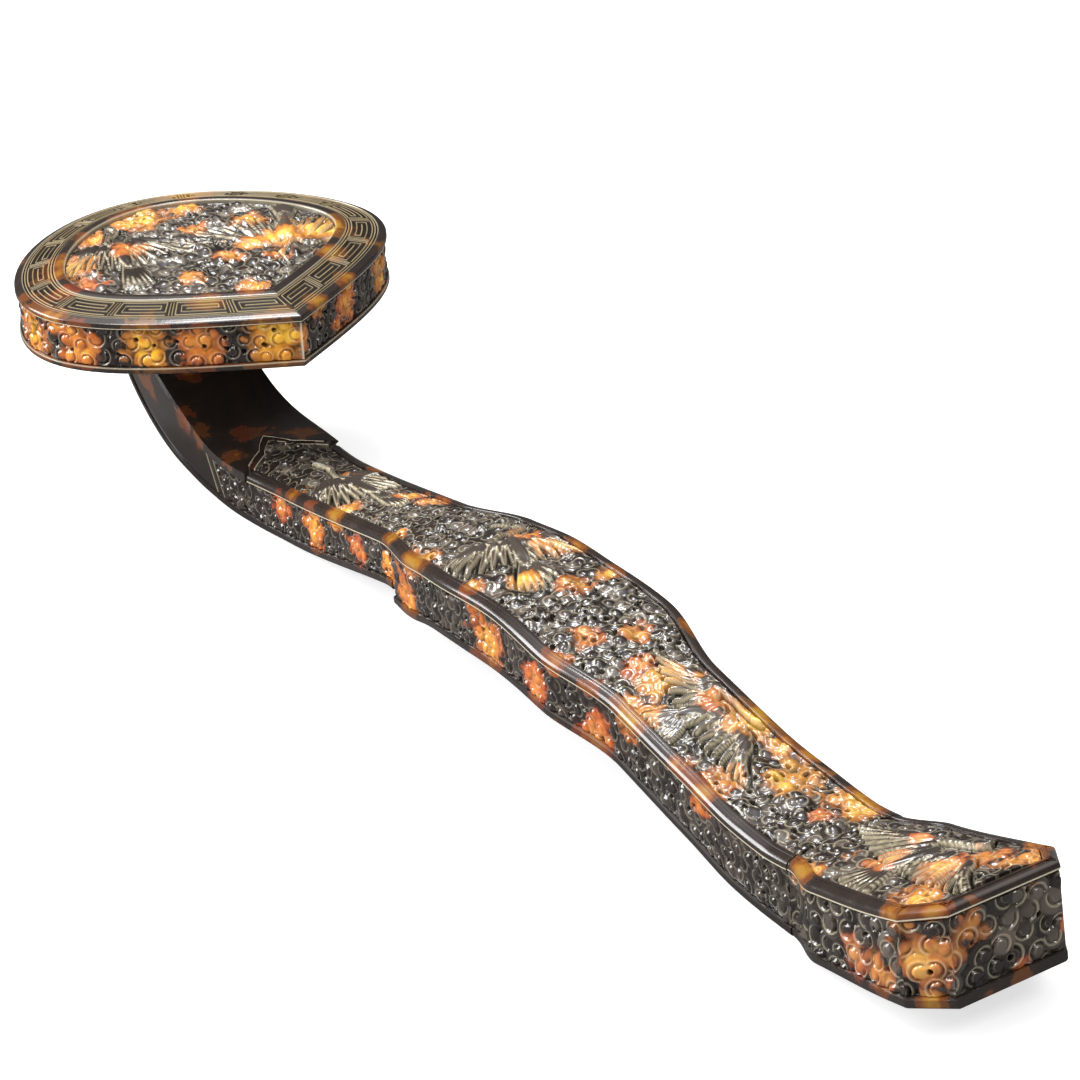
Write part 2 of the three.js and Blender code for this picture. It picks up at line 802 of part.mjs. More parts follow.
// Dowel along the shaft through the middle of the cores that meet at x
function dowelAt(x, clearance) {
  const x0 = x - dowelLength / 2;
  const x1 = x + dowelLength / 2;
  const middle = (at) => (topZ(Math.max(at, bend.x)) + undersideZ(Math.max(at, bend.x))) / 2;
  const radius = dowelRadius + clearance;
  const dowel = new THREE.CylinderGeometry(radius, radius, dowelLength + 2 * clearance, roundSides);
  dowel.rotateZ(Math.PI / 2);
  dowel.rotateY(-Math.atan2(middle(x1) - middle(x0), dowelLength));
  return dowel.translate(x, 0, middle(x));
}

// Upper length of the shaft: bracket strip, borders, carved panel, carved sides and back
function buildUpperShaft() {
  const nearBracket = neckAndUpper.filter((rib) => rib.top.x > bracketApexX - shaftSpacing);
  const panel = sweep(nearBracket, carvedSection);
  const strip = sweep(nearBracket, crownedSection(borderWidth + glueGap, 0, panelRecess, panelThickness));
  const stripEnd = bracketSide(bracketStripWidth);
  addPiece(sceptre, 'bracket_strip', subtract(intersect(strip, stripEnd), bracketSide(0)), plainShell);
  const carved = subtract(panel, bracketSide(bracketStripWidth + glueGap));
  addPiece(sceptre, 'upper_carved_panel', carved, carvedShell);
  const borderRibs = shaftRibs(bracketEndX + glueGap, seamX - joint, shaftHalf);
  for (const [name, side] of [['left', -1], ['right', 1]]) {
    addPiece(sceptre, `upper_border_${name}`, sweep(borderRibs, borderSection(side)), plainShell);
    const wall = sweep(neckAndUpper, wallSection(side, borderHeight + glueGap));
    const slanted = subtract(intersect(wall, slantSide(stripWidth)), slantSide(0));
    addPiece(sceptre, `side_strip_${name}`, slanted, plainShell);
    addPiece(sceptre, `upper_wall_${name}`, subtract(wall, slantSide(stripWidth + glueGap)), carvedShell);
  }
  addPiece(sceptre, 'upper_back_plate', sweep(upperLength, backSection), plainShell);
  const core = subtract(
    sweep(upperLength, coreSection),
    dowelAt(bend.x, dowelClearance),
    dowelAt(seamX, dowelClearance),
  );
  addPiece(sceptre, 'upper_core', core, hardwood);
  addPiece(sceptre, 'upper_dowel', dowelAt(bend.x, 0), bamboo);
}

// Carved panel of the lower length, with two flying cranes and the cloud heads beside them
function lowerPanel() {
  const reachAt = (half) => half - borderWidth - glueGap;
  const surface = (x, y) => {
    const spot = y / reachAt(shaftHalf(x));
    return topZ(x) - panelRecess + panelCrown * (1 - spot * spot);
  };
  const span = shaftCraneSpan;
  const lowerMiddleX = (lowerX.start + lowerX.end) / 2;
  const cranes = [
    { x: lobeX.first, y: borderWidth, heading: 176, length: shaftCraneLengths.upper, span },
    { x: lowerMiddleX, y: borderWidth, heading: 14, length: shaftCraneLengths.lower, span },
  ];
  const field = { x: (seamX + notchX) / 2, reachX: (notchX - seamX) / 2, reachY: middleHalf };
  const masses = [
    ...cranes.flatMap((crane) => craneMasses(crane, surface)),
    ...cloudMasses(field, shaftCloudSpacing, cranes, surface),
  ];
  const room = sweep(lowerLength.slice(1, -1), (rib) => {
    const reach = reachAt(rib.half) - carvingMargin;
    return [
      { y: -reach, drop: -panelThickness },
      { y: reach, drop: -panelThickness },
      { y: reach, drop: panelThickness - carvingMargin },
      { y: -reach, drop: panelThickness - carvingMargin },
    ];
  });
  return withMasses(sweep(lowerLength, carvedSection), masses, room);
}

// Lower length, whose sides swell into lobes past the seam
function buildLowerShaft() {
  addPiece(sceptre, 'lower_carved_panel', lowerPanel(), carvedShell);
  for (const [name, side] of [['left', -1], ['right', 1]]) {
    addPiece(sceptre, `lower_border_${name}`, sweep(lowerLength, borderSection(side)), plainShell);
    const wall = sweep(lowerLength, wallSection(side, borderHeight + glueGap));
    addPiece(sceptre, `lower_wall_${name}`, wall, carvedShell);
  }
  addPiece(sceptre, 'lower_back_plate', sweep(lowerLength, backSection), plainShell);
  const core = subtract(
    sweep(lowerLength, coreSection),
    dowelAt(seamX, dowelClearance),
    dowelAt(notchX, dowelClearance),
  );
  addPiece(sceptre, 'lower_core', core, hardwood);
  addPiece(sceptre, 'lower_dowel', dowelAt(seamX, 0), bamboo);
}

// Terminal's outline in plan, from the notch on the near side round the end to the far side
function terminalStations() {
  const steps = Math.ceil((cornerX - notchX) / shaftSpacing);
  const side = [];
  for (let i = 0; i <= steps; i += 1) {
    const x = notchX + joint + ((cornerX - notchX - joint) * i) / steps;
    side.push(new THREE.Vector2(x, -terminalHalfAt(x)));
  }
  side.push(new THREE.Vector2(terminalEnd.x, -endHalf));
  const mirrored = side.map((p) => new THREE.Vector2(p.x, -p.y)).reverse();
  return withInward([...side, ...mirrored], false);
}

const terminalLoop = terminalStations();

// Piece that follows a stretch of the terminal's outline. Each point of its section has an inset
// from the outline, and a drop from the top face or a lift from the underside.
function terminalRun(stations, section) {
  const rings = stations.map((station) =>
    section.map(({ inset, drop, lift }) => {
      const { x, y } = insetPoint(station, inset);
      const rib = shaftRib(x, terminalHalfAt);
      const point = rib.top.clone().addScaledVector(rib.down, drop ?? rib.depth - lift);
      point.y = y;
      return point;
    }),
  );
  const flat = section.map(({ inset, drop, lift }) => new THREE.Vector2(inset, drop ?? headThickness - lift));
  return loft(rings, flat);
}

// Stations between two corners of the outline, each end drawn back along the run by half a joint
function runBetween(first, last) {
  const run = terminalLoop.slice(first, last + 1);
  const drawIn = (end, next) => {
    const step = next.point.clone().sub(end.point).setLength(joint);
    return { point: end.point.clone().add(step), inward: end.inward };
  };
  const start = drawIn(run[0], run[1]);
  const finish = drawIn(run[run.length - 1], run[run.length - 2]);
  return [start, ...run.slice(1, -1), finish];
}

function terminalBorder() {
  return terminalRun(terminalLoop, [
    { inset: 0, drop: borderHeight },
    { inset: 0, drop: borderShoulder },
    { inset: borderBevel, drop: borderCamber },
    { inset: borderWidth, drop: 0 },
    { inset: borderWidth, drop: borderHeight },
  ]);
}

function terminalWall(first, last) {
  const drop = borderHeight + glueGap;
  const lift = backThickness + glueGap;
  return terminalRun(runBetween(first, last), [
    { inset: wallReveal, drop },
    { inset: wallReveal, lift },
    { inset: wallReveal + wallThickness, lift },
    { inset: wallReveal + wallThickness, drop },
  ]);
}

// Ribs of the terminal drawn in by an inset, for the plates that lie inside its outline
function terminalRibs(inset) {
  const end = terminalEnd.x - inset;
  const corner = cornerX - inset / 2;
  const inner = (x) => terminalHalfAt(x, inset);
  const first = shaftRibs(notchX + joint, corner, inner);
  const cut = shaftRibs(corner, end, inner).slice(1);
  return [...first, ...cut];
}

// Raised terminal: flared sides, cut corners and end round a core, under its own border
function buildTerminal() {
  const last = terminalLoop.length - 1;
  const corner = Math.ceil((cornerX - notchX) / shaftSpacing);
  const runs = {
    terminal_wall_left: [0, corner],
    terminal_corner_left: [corner, corner + 1],
    terminal_end_wall: [corner + 1, last - corner - 1],
    terminal_corner_right: [last - corner - 1, last - corner],
    terminal_wall_right: [last - corner, last],
  };
  for (const [name, [from, to]] of Object.entries(runs)) {
    addPiece(sceptre, name, terminalWall(from, to), carvedShell);
  }
  addPiece(sceptre, 'terminal_border', terminalBorder(), plainShell);
  const panelRibs = terminalRibs(borderWidth + glueGap);
  const panel = sweep(panelRibs, crownedSection(0, panelRecess, panelCrown, panelThickness));
  addPiece(sceptre, 'terminal_carved_panel', panel, carvedShell);
  addPiece(sceptre, 'terminal_back_plate', sweep(terminalRibs(0), backSection), plainShell);
  const core = sweep(panelRibs, (rib) => {
    const ceiling = borderHeight + glueGap;
    const floor = rib.depth - backThickness - glueGap;
    return [
      { y: -rib.half, drop: ceiling },
      { y: rib.half, drop: ceiling },
      { y: rib.half, drop: floor },
      { y: -rib.half, drop: floor },
    ];
  });
  addPiece(sceptre, 'terminal_core', subtract(core, dowelAt(notchX, dowelClearance)), hardwood);
  addPiece(sceptre, 'terminal_dowel', dowelAt(notchX, 0), bamboo);
}

// The origin is moved to the middle of the footprint, at the height the sceptre rests on
function seatOnOrigin() {
  sceptre.updateMatrixWorld(true);
  const box = new THREE.Box3().setFromObject(sceptre, true);
  const middle = box.getCenter(new THREE.Vector3());
  sceptre.position.set(-middle.x, -middle.y, -box.min.z);
}

buildHead();
buildNeck();
buildUpperShaft();
buildLowerShaft();
buildTerminal();
seatOnOrigin();

export default sceptre;
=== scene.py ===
"""Ruyi sceptre of carved tortoiseshell plates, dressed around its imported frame.

Every piece is built in millimetres in the carver's own frame and put into the frame's metres
by Workshop. Each carved face is cut on a flat chart of heights, then bent onto its plate.
"""

import logging
import math
from copy import copy
from dataclasses import dataclass, field, replace
from enum import Enum
from typing import Callable, Dict, List, NamedTuple, Optional, Sequence, Tuple

import bpy
import numpy as np
from mathutils import Matrix, Vector


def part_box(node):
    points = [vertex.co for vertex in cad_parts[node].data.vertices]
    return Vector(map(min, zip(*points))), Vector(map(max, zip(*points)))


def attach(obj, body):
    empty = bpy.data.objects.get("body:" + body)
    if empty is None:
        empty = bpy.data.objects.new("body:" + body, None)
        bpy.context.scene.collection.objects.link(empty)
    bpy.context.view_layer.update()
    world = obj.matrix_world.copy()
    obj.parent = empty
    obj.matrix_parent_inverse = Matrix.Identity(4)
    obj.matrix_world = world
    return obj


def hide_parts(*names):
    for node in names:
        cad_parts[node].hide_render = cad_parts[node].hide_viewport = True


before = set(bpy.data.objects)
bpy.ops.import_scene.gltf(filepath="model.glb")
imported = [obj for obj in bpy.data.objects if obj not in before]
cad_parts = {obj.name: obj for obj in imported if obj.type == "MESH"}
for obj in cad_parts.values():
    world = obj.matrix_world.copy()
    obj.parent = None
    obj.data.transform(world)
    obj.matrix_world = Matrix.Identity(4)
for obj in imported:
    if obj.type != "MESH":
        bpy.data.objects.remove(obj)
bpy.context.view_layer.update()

LOG = logging.getLogger("ruyi_sceptre")
METRE = 1000.0
SMOOTH_ANGLE = math.radians(38)
SEED = 1644
WHITE = (1, 1, 1, 1)

Array = np.ndarray
Socket = bpy.types.NodeSocket
Node = bpy.types.Node
Flat = Tuple[float, float]
Solid = Tuple[float, float, float]
Shade = Tuple[int, int, int]
Spot = Tuple[slice, slice]


class Side(Enum):
    """Which side of the middle line a plate lies on."""

    LEFT = -1
    RIGHT = 1

    @property
    def word(self) -> str:
        """Name of the side as the plates are named."""
        return self.name.lower()


class Hue(Enum):
    """Colour that a light patch of shell turns to."""

    RED = 0.0
    ORANGE = 0.35
    AMBER = 0.65
    YELLOW = 1.0


def smoothstep(x: Array, low: float, high: float) -> Array:
    """Eases from 0 at low to 1 at high."""
    t = np.clip((np.asarray(x, float) - low) / (high - low), 0, 1)
    return t * t * (3 - 2 * t)


def bell(x: Array, middle: float, width: float) -> Array:
    """Rounded peak of height 1."""
    return np.exp(-((x - middle) / width) ** 2)


def faded(height: Array, edge: Array, width: float, level: float) -> Array:
    """Heights that ease to a level towards an edge."""
    fade = smoothstep(edge, 0.0, width)
    return height * fade + level * (1 - fade)


def runs_along(points: Array, closed: bool = False) -> Array:
    """Distances along a line of points, and back to its first point where it is closed."""
    line = np.vstack([points, points[:1]]) if closed else points
    return np.concatenate([[0], np.cumsum(np.linalg.norm(np.diff(line, axis=0), axis=1))])


@dataclass(frozen=True)
class Place:
    """A point of a side line, in millimetres."""

    x: float
    z: float


@dataclass(frozen=True)
class Plating:
    """Sizes of the plates that the shaft and terminal are boxed with, in millimetres."""

    border_width: float = 3.2
    border_height: float = 3.0
    panel_recess: float = 0.4
    panel_crown: float = 1.3
    panel_thickness: float = 2.8
    wall_thickness: float = 2.2
    wall_reveal: float = 0.4
    back_thickness: float = 2.5
    back_roll: float = 0.8
    glue_gap: float = 0.25

    @property
    def joint(self) -> float:
        """Half of the gap where two lengths of plate meet."""
        return self.glue_gap / 2


@dataclass(frozen=True)
class SceptreLines:
    """Side lines and widths of the sceptre, in millimetres in the carver's frame."""

    bend: Place = Place(-133, 15.4)
    crest: Place = Place(28, 33)
    dip: Place = Place(137, 18.2)
    terminal_end: Place = Place(201, 35)
    terminal_curl: float = 1.4
    arch_start: Place = Place(-118, 0)
    arch_rise: Place = Place(0, 15.4)
    arch_fall: Place = Place(36, 15.4)
    arch_end: Place = Place(137, 0)
    toe_rest_end: float = 148
    toe_end_height: float = 11.6
    toe_curl: float = 1.2
    end_lean: float = 1.6
    seam_x: float = -33
    seam_step: float = 4
    seam_fade: float = 43
    notch_x: float = 146
    corner_x: float = 192
    terminal_half: float = 19.6
    end_half: float = 13.7
    neck_face: Tuple[Flat, ...] = (
        (-171.5, 58), (-179, 46), (-180.5, 37.5), (-177.5, 31), (-170.5, 26.3),
        (-160, 21), (-149, 17.3), (-141, 15.9), (-133, 15.4),
    )
    neck_back: Tuple[Flat, ...] = (
        (-191, 58), (-200.5, 46), (-202.5, 34), (-199.5, 22), (-189.5, 11.6),
        (-173.5, 3.4), (-155, 0.4), (-142, 0), (-133, 0),
    )
    plan: Tuple[Flat, ...] = (
        (-161, 14.4), (-133, 15.6), (-98, 13.5), (-40, 13.5), (-12, 18.0), (6, 18.8),
        (27, 18.1), (50, 18.8), (77, 14.3), (104, 14.3), (124, 15.1),
    )
    flare: Tuple[Flat, ...] = ((146, 14.9), (160, 18.7), (186, 19.6))

    def eased(self, x: Array, start: Place, end: Place) -> Array:
        """Heights at stations x between two places of a side line."""
        return start.z + (end.z - start.z) * smoothstep(x, start.x, end.x)

    def top(self, x: Array) -> Array:
        """Height of the middle of the top face.

        Args:
            x: Stations.

        Returns:
            Heights.
        """
        x = np.asarray(x, float)
        along = np.clip((x - self.dip.x) / (self.terminal_end.x - self.dip.x), 0, None)
        curl = self.dip.z + (self.terminal_end.z - self.dip.z) * along ** self.terminal_curl
        falling = self.eased(x, self.crest, self.dip)
        rising = self.eased(x, self.bend, self.crest)
        return np.where(x < self.crest.x, rising, np.where(x < self.dip.x, falling, curl))

    def underside(self, x: Array, past_seam: bool) -> Array:
        """Height of the underside.

        Args:
            x: Stations.
            past_seam: True for the lengths on the terminal's side of the seam.

        Returns:
            Heights.
        """
        x = np.asarray(x, float)
        lobe = 1 - smoothstep(x, self.seam_x, self.seam_x + self.seam_fade) if past_seam else 0
        rise = self.eased(x, self.arch_start, self.arch_rise) - self.seam_step * lobe
        fall = self.eased(x, self.arch_fall, self.arch_end)
        along = np.clip((x - self.toe_rest_end) / (self.terminal_end.x - self.toe_rest_end), 0, None)
        toe = self.toe_end_height * along ** self.toe_curl
        return np.where(x < self.arch_fall.x, rise, np.where(x < self.arch_end.x, fall, toe))

    @staticmethod
    def eased_half(line: Sequence[Flat], x: Array) -> Array:
        """Half width eased between the places named in an outline.

        Args:
            line: Places as (x, half width).
            x: Stations.

        Returns:
            Half widths.
        """
        x = np.asarray(x, float)
        half = np.full(x.shape, float(line[0][1]))
        for (x0, h0), (x1, h1) in zip(line, line[1:]):
            half = np.where(x >= x0, h0 + (h1 - h0) * smoothstep(x, x0, x1), half)
        return half

    def shaft_half(self, x: Array) -> Array:
        """Half width of the neck and shaft at stations x."""
        return self.eased_half(self.plan, x)

    def terminal_half_at(self, x: Array, inset: float = 0) -> Array:
        """Half width of the terminal, drawn in from its sides, corners and end.

        Args:
            x: Stations.
            inset: How far the outline is drawn in.

        Returns:
            Half widths.
        """
        side = self.eased_half(self.flare, x) - inset
        slope = (self.terminal_half - self.end_half) / (self.terminal_end.x - self.corner_x)
        corner = self.end_half + (self.terminal_end.x - x) * slope - inset * math.hypot(1, slope)
        return np.minimum(side, corner)


def curve_through(points: Sequence[Flat], count: int) -> Array:
    """Smooth curve through points of a side view.

    Args:
        points: Points as (x, z).
        count: How many points to return.

    Returns:
        Array of count rows of x and z.
    """
    knots = np.array(points, float)
    knots = np.vstack([2 * knots[0] - knots[1], knots, 2 * knots[-1] - knots[-2]])
    spans = len(points) - 1
    out = []
    for share in np.linspace(0, 1, count):
        place = min(share * spans, spans - 1e-9)
        i = int(place)
        t = place - i
        a, b, c, d = knots[i:i + 4]
        da, db, dc = (np.sum((q - p) ** 2) ** 0.25 for p, q in ((a, b), (b, c), (c, d)))
        leave = ((b - a) / da - (c - a) / (da + db) + (c - b) / db) * db
        arrive = ((c - b) / db - (d - b) / (db + dc) + (d - c) / dc) * db
        out.append(
            b + leave * t
            + (3 * (c - b) - 2 * leave - arrive) * t ** 2
            + (2 * (b - c) + leave + arrive) * t ** 3
        )
    return np.array(out)


class RibPath:
    """Row of ribs, each with a top point, a direction down, a depth and a half width."""

    def __init__(self, top: Array, under: Array, half: Array) -> None:
        """Takes the ribs' ends.

        Args:
            top: Rows of x and z on the top face.
            under: Rows of x and z on the underside.
            half: Half widths.
        """
        self.top = top
        self.depth = np.linalg.norm(under - top, axis=1)
        self.down = (under - top) / self.depth[:, None]
        self.half = half
        self.run = runs_along((top + under) / 2)
        self.length = float(self.run[-1])

    def value(self, name: str, run: Array) -> Array:
        """Depth or half width, as named, at runs along the middle line."""
        return np.interp(run, self.run, getattr(self, name))

    def place(self, run: Array, y: Array, drop: Array) -> Array:
        """Points on or in the box.

        Args:
            run: Distances along the middle line.
            y: Distances from the middle.
            drop: Distances below the top face, along the ribs.

        Returns:
            Points, with x, y and z last.
        """
        run, y, drop = np.broadcast_arrays(run, y, drop)
        x, z = (
            np.interp(run, self.run, self.top[:, k]) + np.interp(run, self.run, self.down[:, k]) * drop
            for k in (0, 1)
        )
        return np.stack([x, y, z], axis=-1)

    def run_at(self, reached: Callable[[Array], Array]) -> float:
        """First run at which a rising value passes zero.

        Args:
            reached: Gives the value at every rib's run.

        Returns:
            The run, in millimetres.
        """
        values = reached(self.run)
        past = np.nonzero((values[1:] >= 0) & (values[:-1] < 0))[0]
        if len(past) == 0:
            return 0.0 if values[0] >= 0 else self.length
        i = past[0]
        share = -values[i] / (values[i + 1] - values[i])
        return float(self.run[i] + share * (self.run[i + 1] - self.run[i]))


@dataclass
class Sceptre:
    """The lines and plating, with the ribs of each length."""

    lines: SceptreLines = field(default_factory=SceptreLines)
    plating: Plating = field(default_factory=Plating)
    rib_spacing: float = 0.5
    neck_count: int = 260

    def __post_init__(self) -> None:
        """Lays out the ribs of the neck with the upper length, the lower length and the terminal."""
        lines, joint = self.lines, self.plating.joint
        face = curve_through(lines.neck_face, self.neck_count)
        back = curve_through(lines.neck_back, self.neck_count)
        back[:, 1] = np.maximum(back[:, 1], 0)
        upper_x = np.arange(lines.bend.x + self.rib_spacing, lines.seam_x - joint, self.rib_spacing)
        upper_x = np.append(upper_x, lines.seam_x - joint)
        top = np.vstack([face, np.stack([upper_x, lines.top(upper_x)], axis=1)])
        under = np.vstack([back, np.stack([upper_x, lines.underside(upper_x, False)], axis=1)])
        self.upper = RibPath(top, under, lines.shaft_half(top[:, 0]))
        self.neck_end = float(self.upper.run[self.neck_count - 1])
        self.lower = self.straight_ribs(lines.seam_x + joint, lines.notch_x - joint, lines.shaft_half)
        ends = lines.notch_x + joint, lines.terminal_end.x
        self.terminal = self.straight_ribs(*ends, lines.terminal_half_at)

    def straight_ribs(self, start: float, end: float, half: Callable[[Array], Array]) -> RibPath:
        """Ribs of a length past the seam.

        Args:
            start: Station of the first rib.
            end: Station of the last rib.
            half: Gives the half width at stations.

        Returns:
            The ribs.
        """
        lines = self.lines
        x = np.linspace(start, end, int((end - start) / self.rib_spacing) + 1)
        lean = lines.end_lean * np.clip((x - lines.notch_x) / (lines.terminal_end.x - lines.notch_x), 0, None)
        top = np.stack([x, lines.top(x)], axis=1)
        under = np.stack([x + lean, lines.underside(x, True)], axis=1)
        return RibPath(top, under, half(x))


@dataclass
class ShellColours:
    """Light patches of the shell, each a row of x, y, z, size, hue and strength."""

    patches: List[Tuple[float, ...]] = field(default_factory=list)

    def paint(self, points: Array) -> Tuple[Array, Array]:
        """Strength and hue of the patches at points.

        Args:
            points: Rows of x, y and z.

        Returns:
            Two arrays, the strength and the hue, each from 0 to 1.
        """
        strength = np.zeros(len(points))
        hue = np.full(len(points), Hue.AMBER.value)
        for x, y, z, size, patch_hue, full in self.patches:
            away = np.linalg.norm(points - np.array([x, y, z]), axis=-1)
            share = full * np.clip(1.3 - away / size, 0, 1)
            hue = np.where(share > strength, patch_hue, hue)
            strength = np.maximum(strength, share)
        return strength, hue


class ShellMesh:
    """Points, faces and painted values gathered for one piece."""

    def __init__(self) -> None:
        """Starts with no points."""
        self.points: List[Array] = []
        # Painted values: the relief, which the material turns into painted shade in the hollows; the crest
        # value, a painted highlight; the pale lines, with painted glints along the curls' edges; and the
        # jitter of colour.
        self.values: Dict[str, List[Array]] = {"relief": [], "crest_highlight": [], "cream": [], "jitter": []}
        self.loops: List[Array] = []
        self.totals: List[Array] = []
        self.count = 0

    def add_points(self, points: Array, **values: Array) -> Array:
        """Adds points.

        Args:
            points: Points, with x, y and z last.
            values: Painted values by name, shaped as the points are.

        Returns:
            Index of each point, shaped as the points are.
        """
        shape = points.shape[:-1]
        total = int(np.prod(shape))
        self.points.append(points.reshape(-1, 3))
        for name, rows in self.values.items():
            # Where no relief is given, the piece gets no painted shade.
            given = values.get(name, 1.0 if name == "relief" else 0.0)
            rows.append(np.broadcast_to(given, shape).reshape(-1))
        index = np.arange(self.count, self.count + total).reshape(shape)
        self.count += total
        return index

    def add_quads(self, a: Array, b: Array, c: Array, d: Array) -> None:
        """Adds quads from four arrays of corners."""
        quads = np.stack([a.reshape(-1), b.reshape(-1), c.reshape(-1), d.reshape(-1)], axis=1)
        self.loops.append(quads.reshape(-1))
        self.totals.append(np.full(len(quads), 4))

    def add_grid(self, index: Array, wrap: bool = False) -> None:
        """Adds the quads of a grid of points."""
        if wrap:
            index = np.concatenate([index, index[:, :1]], axis=1)
        self.add_quads(index[:-1, :-1], index[1:, :-1], index[1:, 1:], index[:-1, 1:])

    def add_face(self, ring: Array) -> None:
        """Adds one face with any number of corners."""
        self.loops.append(np.asarray(ring).reshape(-1))
        self.totals.append(np.array([len(ring)]))

    def add_plate(self, top: Array, floor: Array, **values: Array) -> "ShellMesh":
        """Adds a closed plate with a carved top, plain sides and a plain floor.

        Args:
            top: Grid of points of the upper face.
            floor: Grid of points of the lower face, of which only the edge is used.
            values: Painted values of the upper face by name.

        Returns:
            The mesh.
        """
        upper = self.add_points(top, **values)
        rows, columns = upper.shape
        self.add_grid(upper)
        edge = np.zeros((rows, columns), bool)
        edge[[0, -1], :] = True
        edge[:, [0, -1]] = True
        lower = np.full((rows, columns), -1)
        painted = {name: np.broadcast_to(value, (rows, columns))[edge] for name, value in values.items()}
        lower[edge] = self.add_points(floor[edge], **painted)
        for line_up, line_low, turn in (
            (upper[0], lower[0], False),
            (upper[-1], lower[-1], True),
            (upper[:, 0], lower[:, 0], True),
            (upper[:, -1], lower[:, -1], False),
        ):
            a, b, c, d = line_up[:-1], line_up[1:], line_low[1:], line_low[:-1]
            if turn:
                self.add_quads(a, d, c, b)
            else:
                self.add_quads(a, b, c, d)
        left, right = lower[:, 0], lower[:, -1]
        self.add_quads(left[1:-2], right[1:-2], right[2:-1], left[2:-1])
        self.add_face(np.concatenate([lower[0], [right[1], left[1]]]))
        self.add_face(np.concatenate([lower[-1][::-1], [left[-2], right[-2]]]))
        return self

    def add_tube(self, rings: Array, closed: bool = False, **values: Array) -> "ShellMesh":
        """Adds a closed skin over a row of rings.

        Args:
            rings: Points by ring, by point of the ring, with x, y and z last.
            closed: True where the last ring joins the first, and there are no ends.
            values: Painted values by name, by ring and point.

        Returns:
            The mesh.
        """
        index = self.add_points(rings, **values)
        self.add_grid(np.concatenate([index, index[:1]], axis=0) if closed else index, wrap=True)
        if not closed:
            self.add_face(index[0])
            self.add_face(index[-1][::-1])
        return self

    def arrays(self) -> Tuple[Array, Array, Array]:
        """Points, face corners and the number of corners of each face."""
        return np.concatenate(self.points), np.concatenate(self.loops), np.concatenate(self.totals)


class Dress(NamedTuple):
    """A built finish, with the record's material slot that it stands for."""

    material: bpy.types.Material
    slot: str


class Workshop:
    """Turns gathered meshes into dressed Blender pieces that ride with the frame."""

    body = "root"

    def __init__(self, sceptre: Sceptre) -> None:
        """Finds where the frame stands against the carver's frame.

        Args:
            sceptre: Lines and ribs of the sceptre.
        """
        self.colours = ShellColours()
        low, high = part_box("lower_back_plate")
        start = sceptre.lines.seam_x + sceptre.plating.joint
        self.shift = np.array([low.x * METRE - start, (low.y + high.y) / 2 * METRE, 0.0])
        self.pieces = 0

    def make(self, mesh: ShellMesh, name: str, dress: Dress, *nodes: str) -> None:
        """Builds a piece and puts it in place of the frame's plates.

        Args:
            mesh: Gathered points and faces in the carver's frame.
            name: Its name.
            dress: Finish of the piece.
            nodes: Plates that it stands for.
        """
        material, slot = dress
        points, loops, totals = mesh.arrays()
        starts = np.concatenate([[0], np.cumsum(totals)[:-1]])
        if self.volume(points, loops, starts, totals) < 0:
            order = np.concatenate([np.arange(s + t - 1, s - 1, -1) for s, t in zip(starts, totals)])
            loops = loops[order]
        data = bpy.data.meshes.new(name)
        data.vertices.add(len(points))
        data.vertices.foreach_set("co", ((points + self.shift) / METRE).astype(np.float32).reshape(-1))
        data.loops.add(len(loops))
        data.loops.foreach_set("vertex_index", loops.astype(np.int32))
        data.polygons.add(len(totals))
        data.polygons.foreach_set("loop_start", starts.astype(np.int32))
        data.polygons.foreach_set("loop_total", totals.astype(np.int32))
        data.update(calc_edges=True)
        data.validate()
        strength, hue = self.colours.paint(points)
        painted = {key: np.concatenate(rows) for key, rows in mesh.values.items()}
        painted.update(patch=strength, hue=hue)
        for key, rows in painted.items():
            layer = data.attributes.new(key, "FLOAT", "POINT")
            layer.data.foreach_set("value", rows.astype(np.float32))
        data.polygons.foreach_set("use_smooth", np.ones(len(data.polygons), bool))
        data.set_sharp_from_angle(angle=SMOOTH_ANGLE)
        data.materials.append(material)
        piece = bpy.data.objects.new(name, data)
        bpy.context.scene.collection.objects.link(piece)
        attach(piece, self.body)
        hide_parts(*nodes)
        self.pieces += 1
        LOG.info("%s: %d faces", name, len(totals))

    @staticmethod
    def volume(points: Array, loops: Array, starts: Array, totals: Array) -> float:
        """Signed volume of a mesh, positive when its faces point out.

        Args:
            points: Points of the mesh.
            loops: Corners of its faces.
            starts: First corner of each face.
            totals: Number of corners of each face.

        Returns:
            The volume, in cubic millimetres.
        """
        total = 0.0
        for corner in range(1, int(totals.max()) - 1):
            has = totals > corner + 1
            a = points[loops[starts[has]]]
            b = points[loops[starts[has] + corner]]
            c = points[loops[starts[has] + corner + 1]]
            total += float(np.sum(a * np.cross(b, c)))
        return total / 6


@dataclass(frozen=True)
class Clouds:
    """How a face is covered with cloud curls and drilled holes, in millimetres."""

    ground: float
    radius: Flat
    rise: Flat
    seed: int
    holes: float
    hole_depth: float = 0.5
    dome_fall: float = 0.36
    groove: float = 0.1
    edge_width: float = 0.16


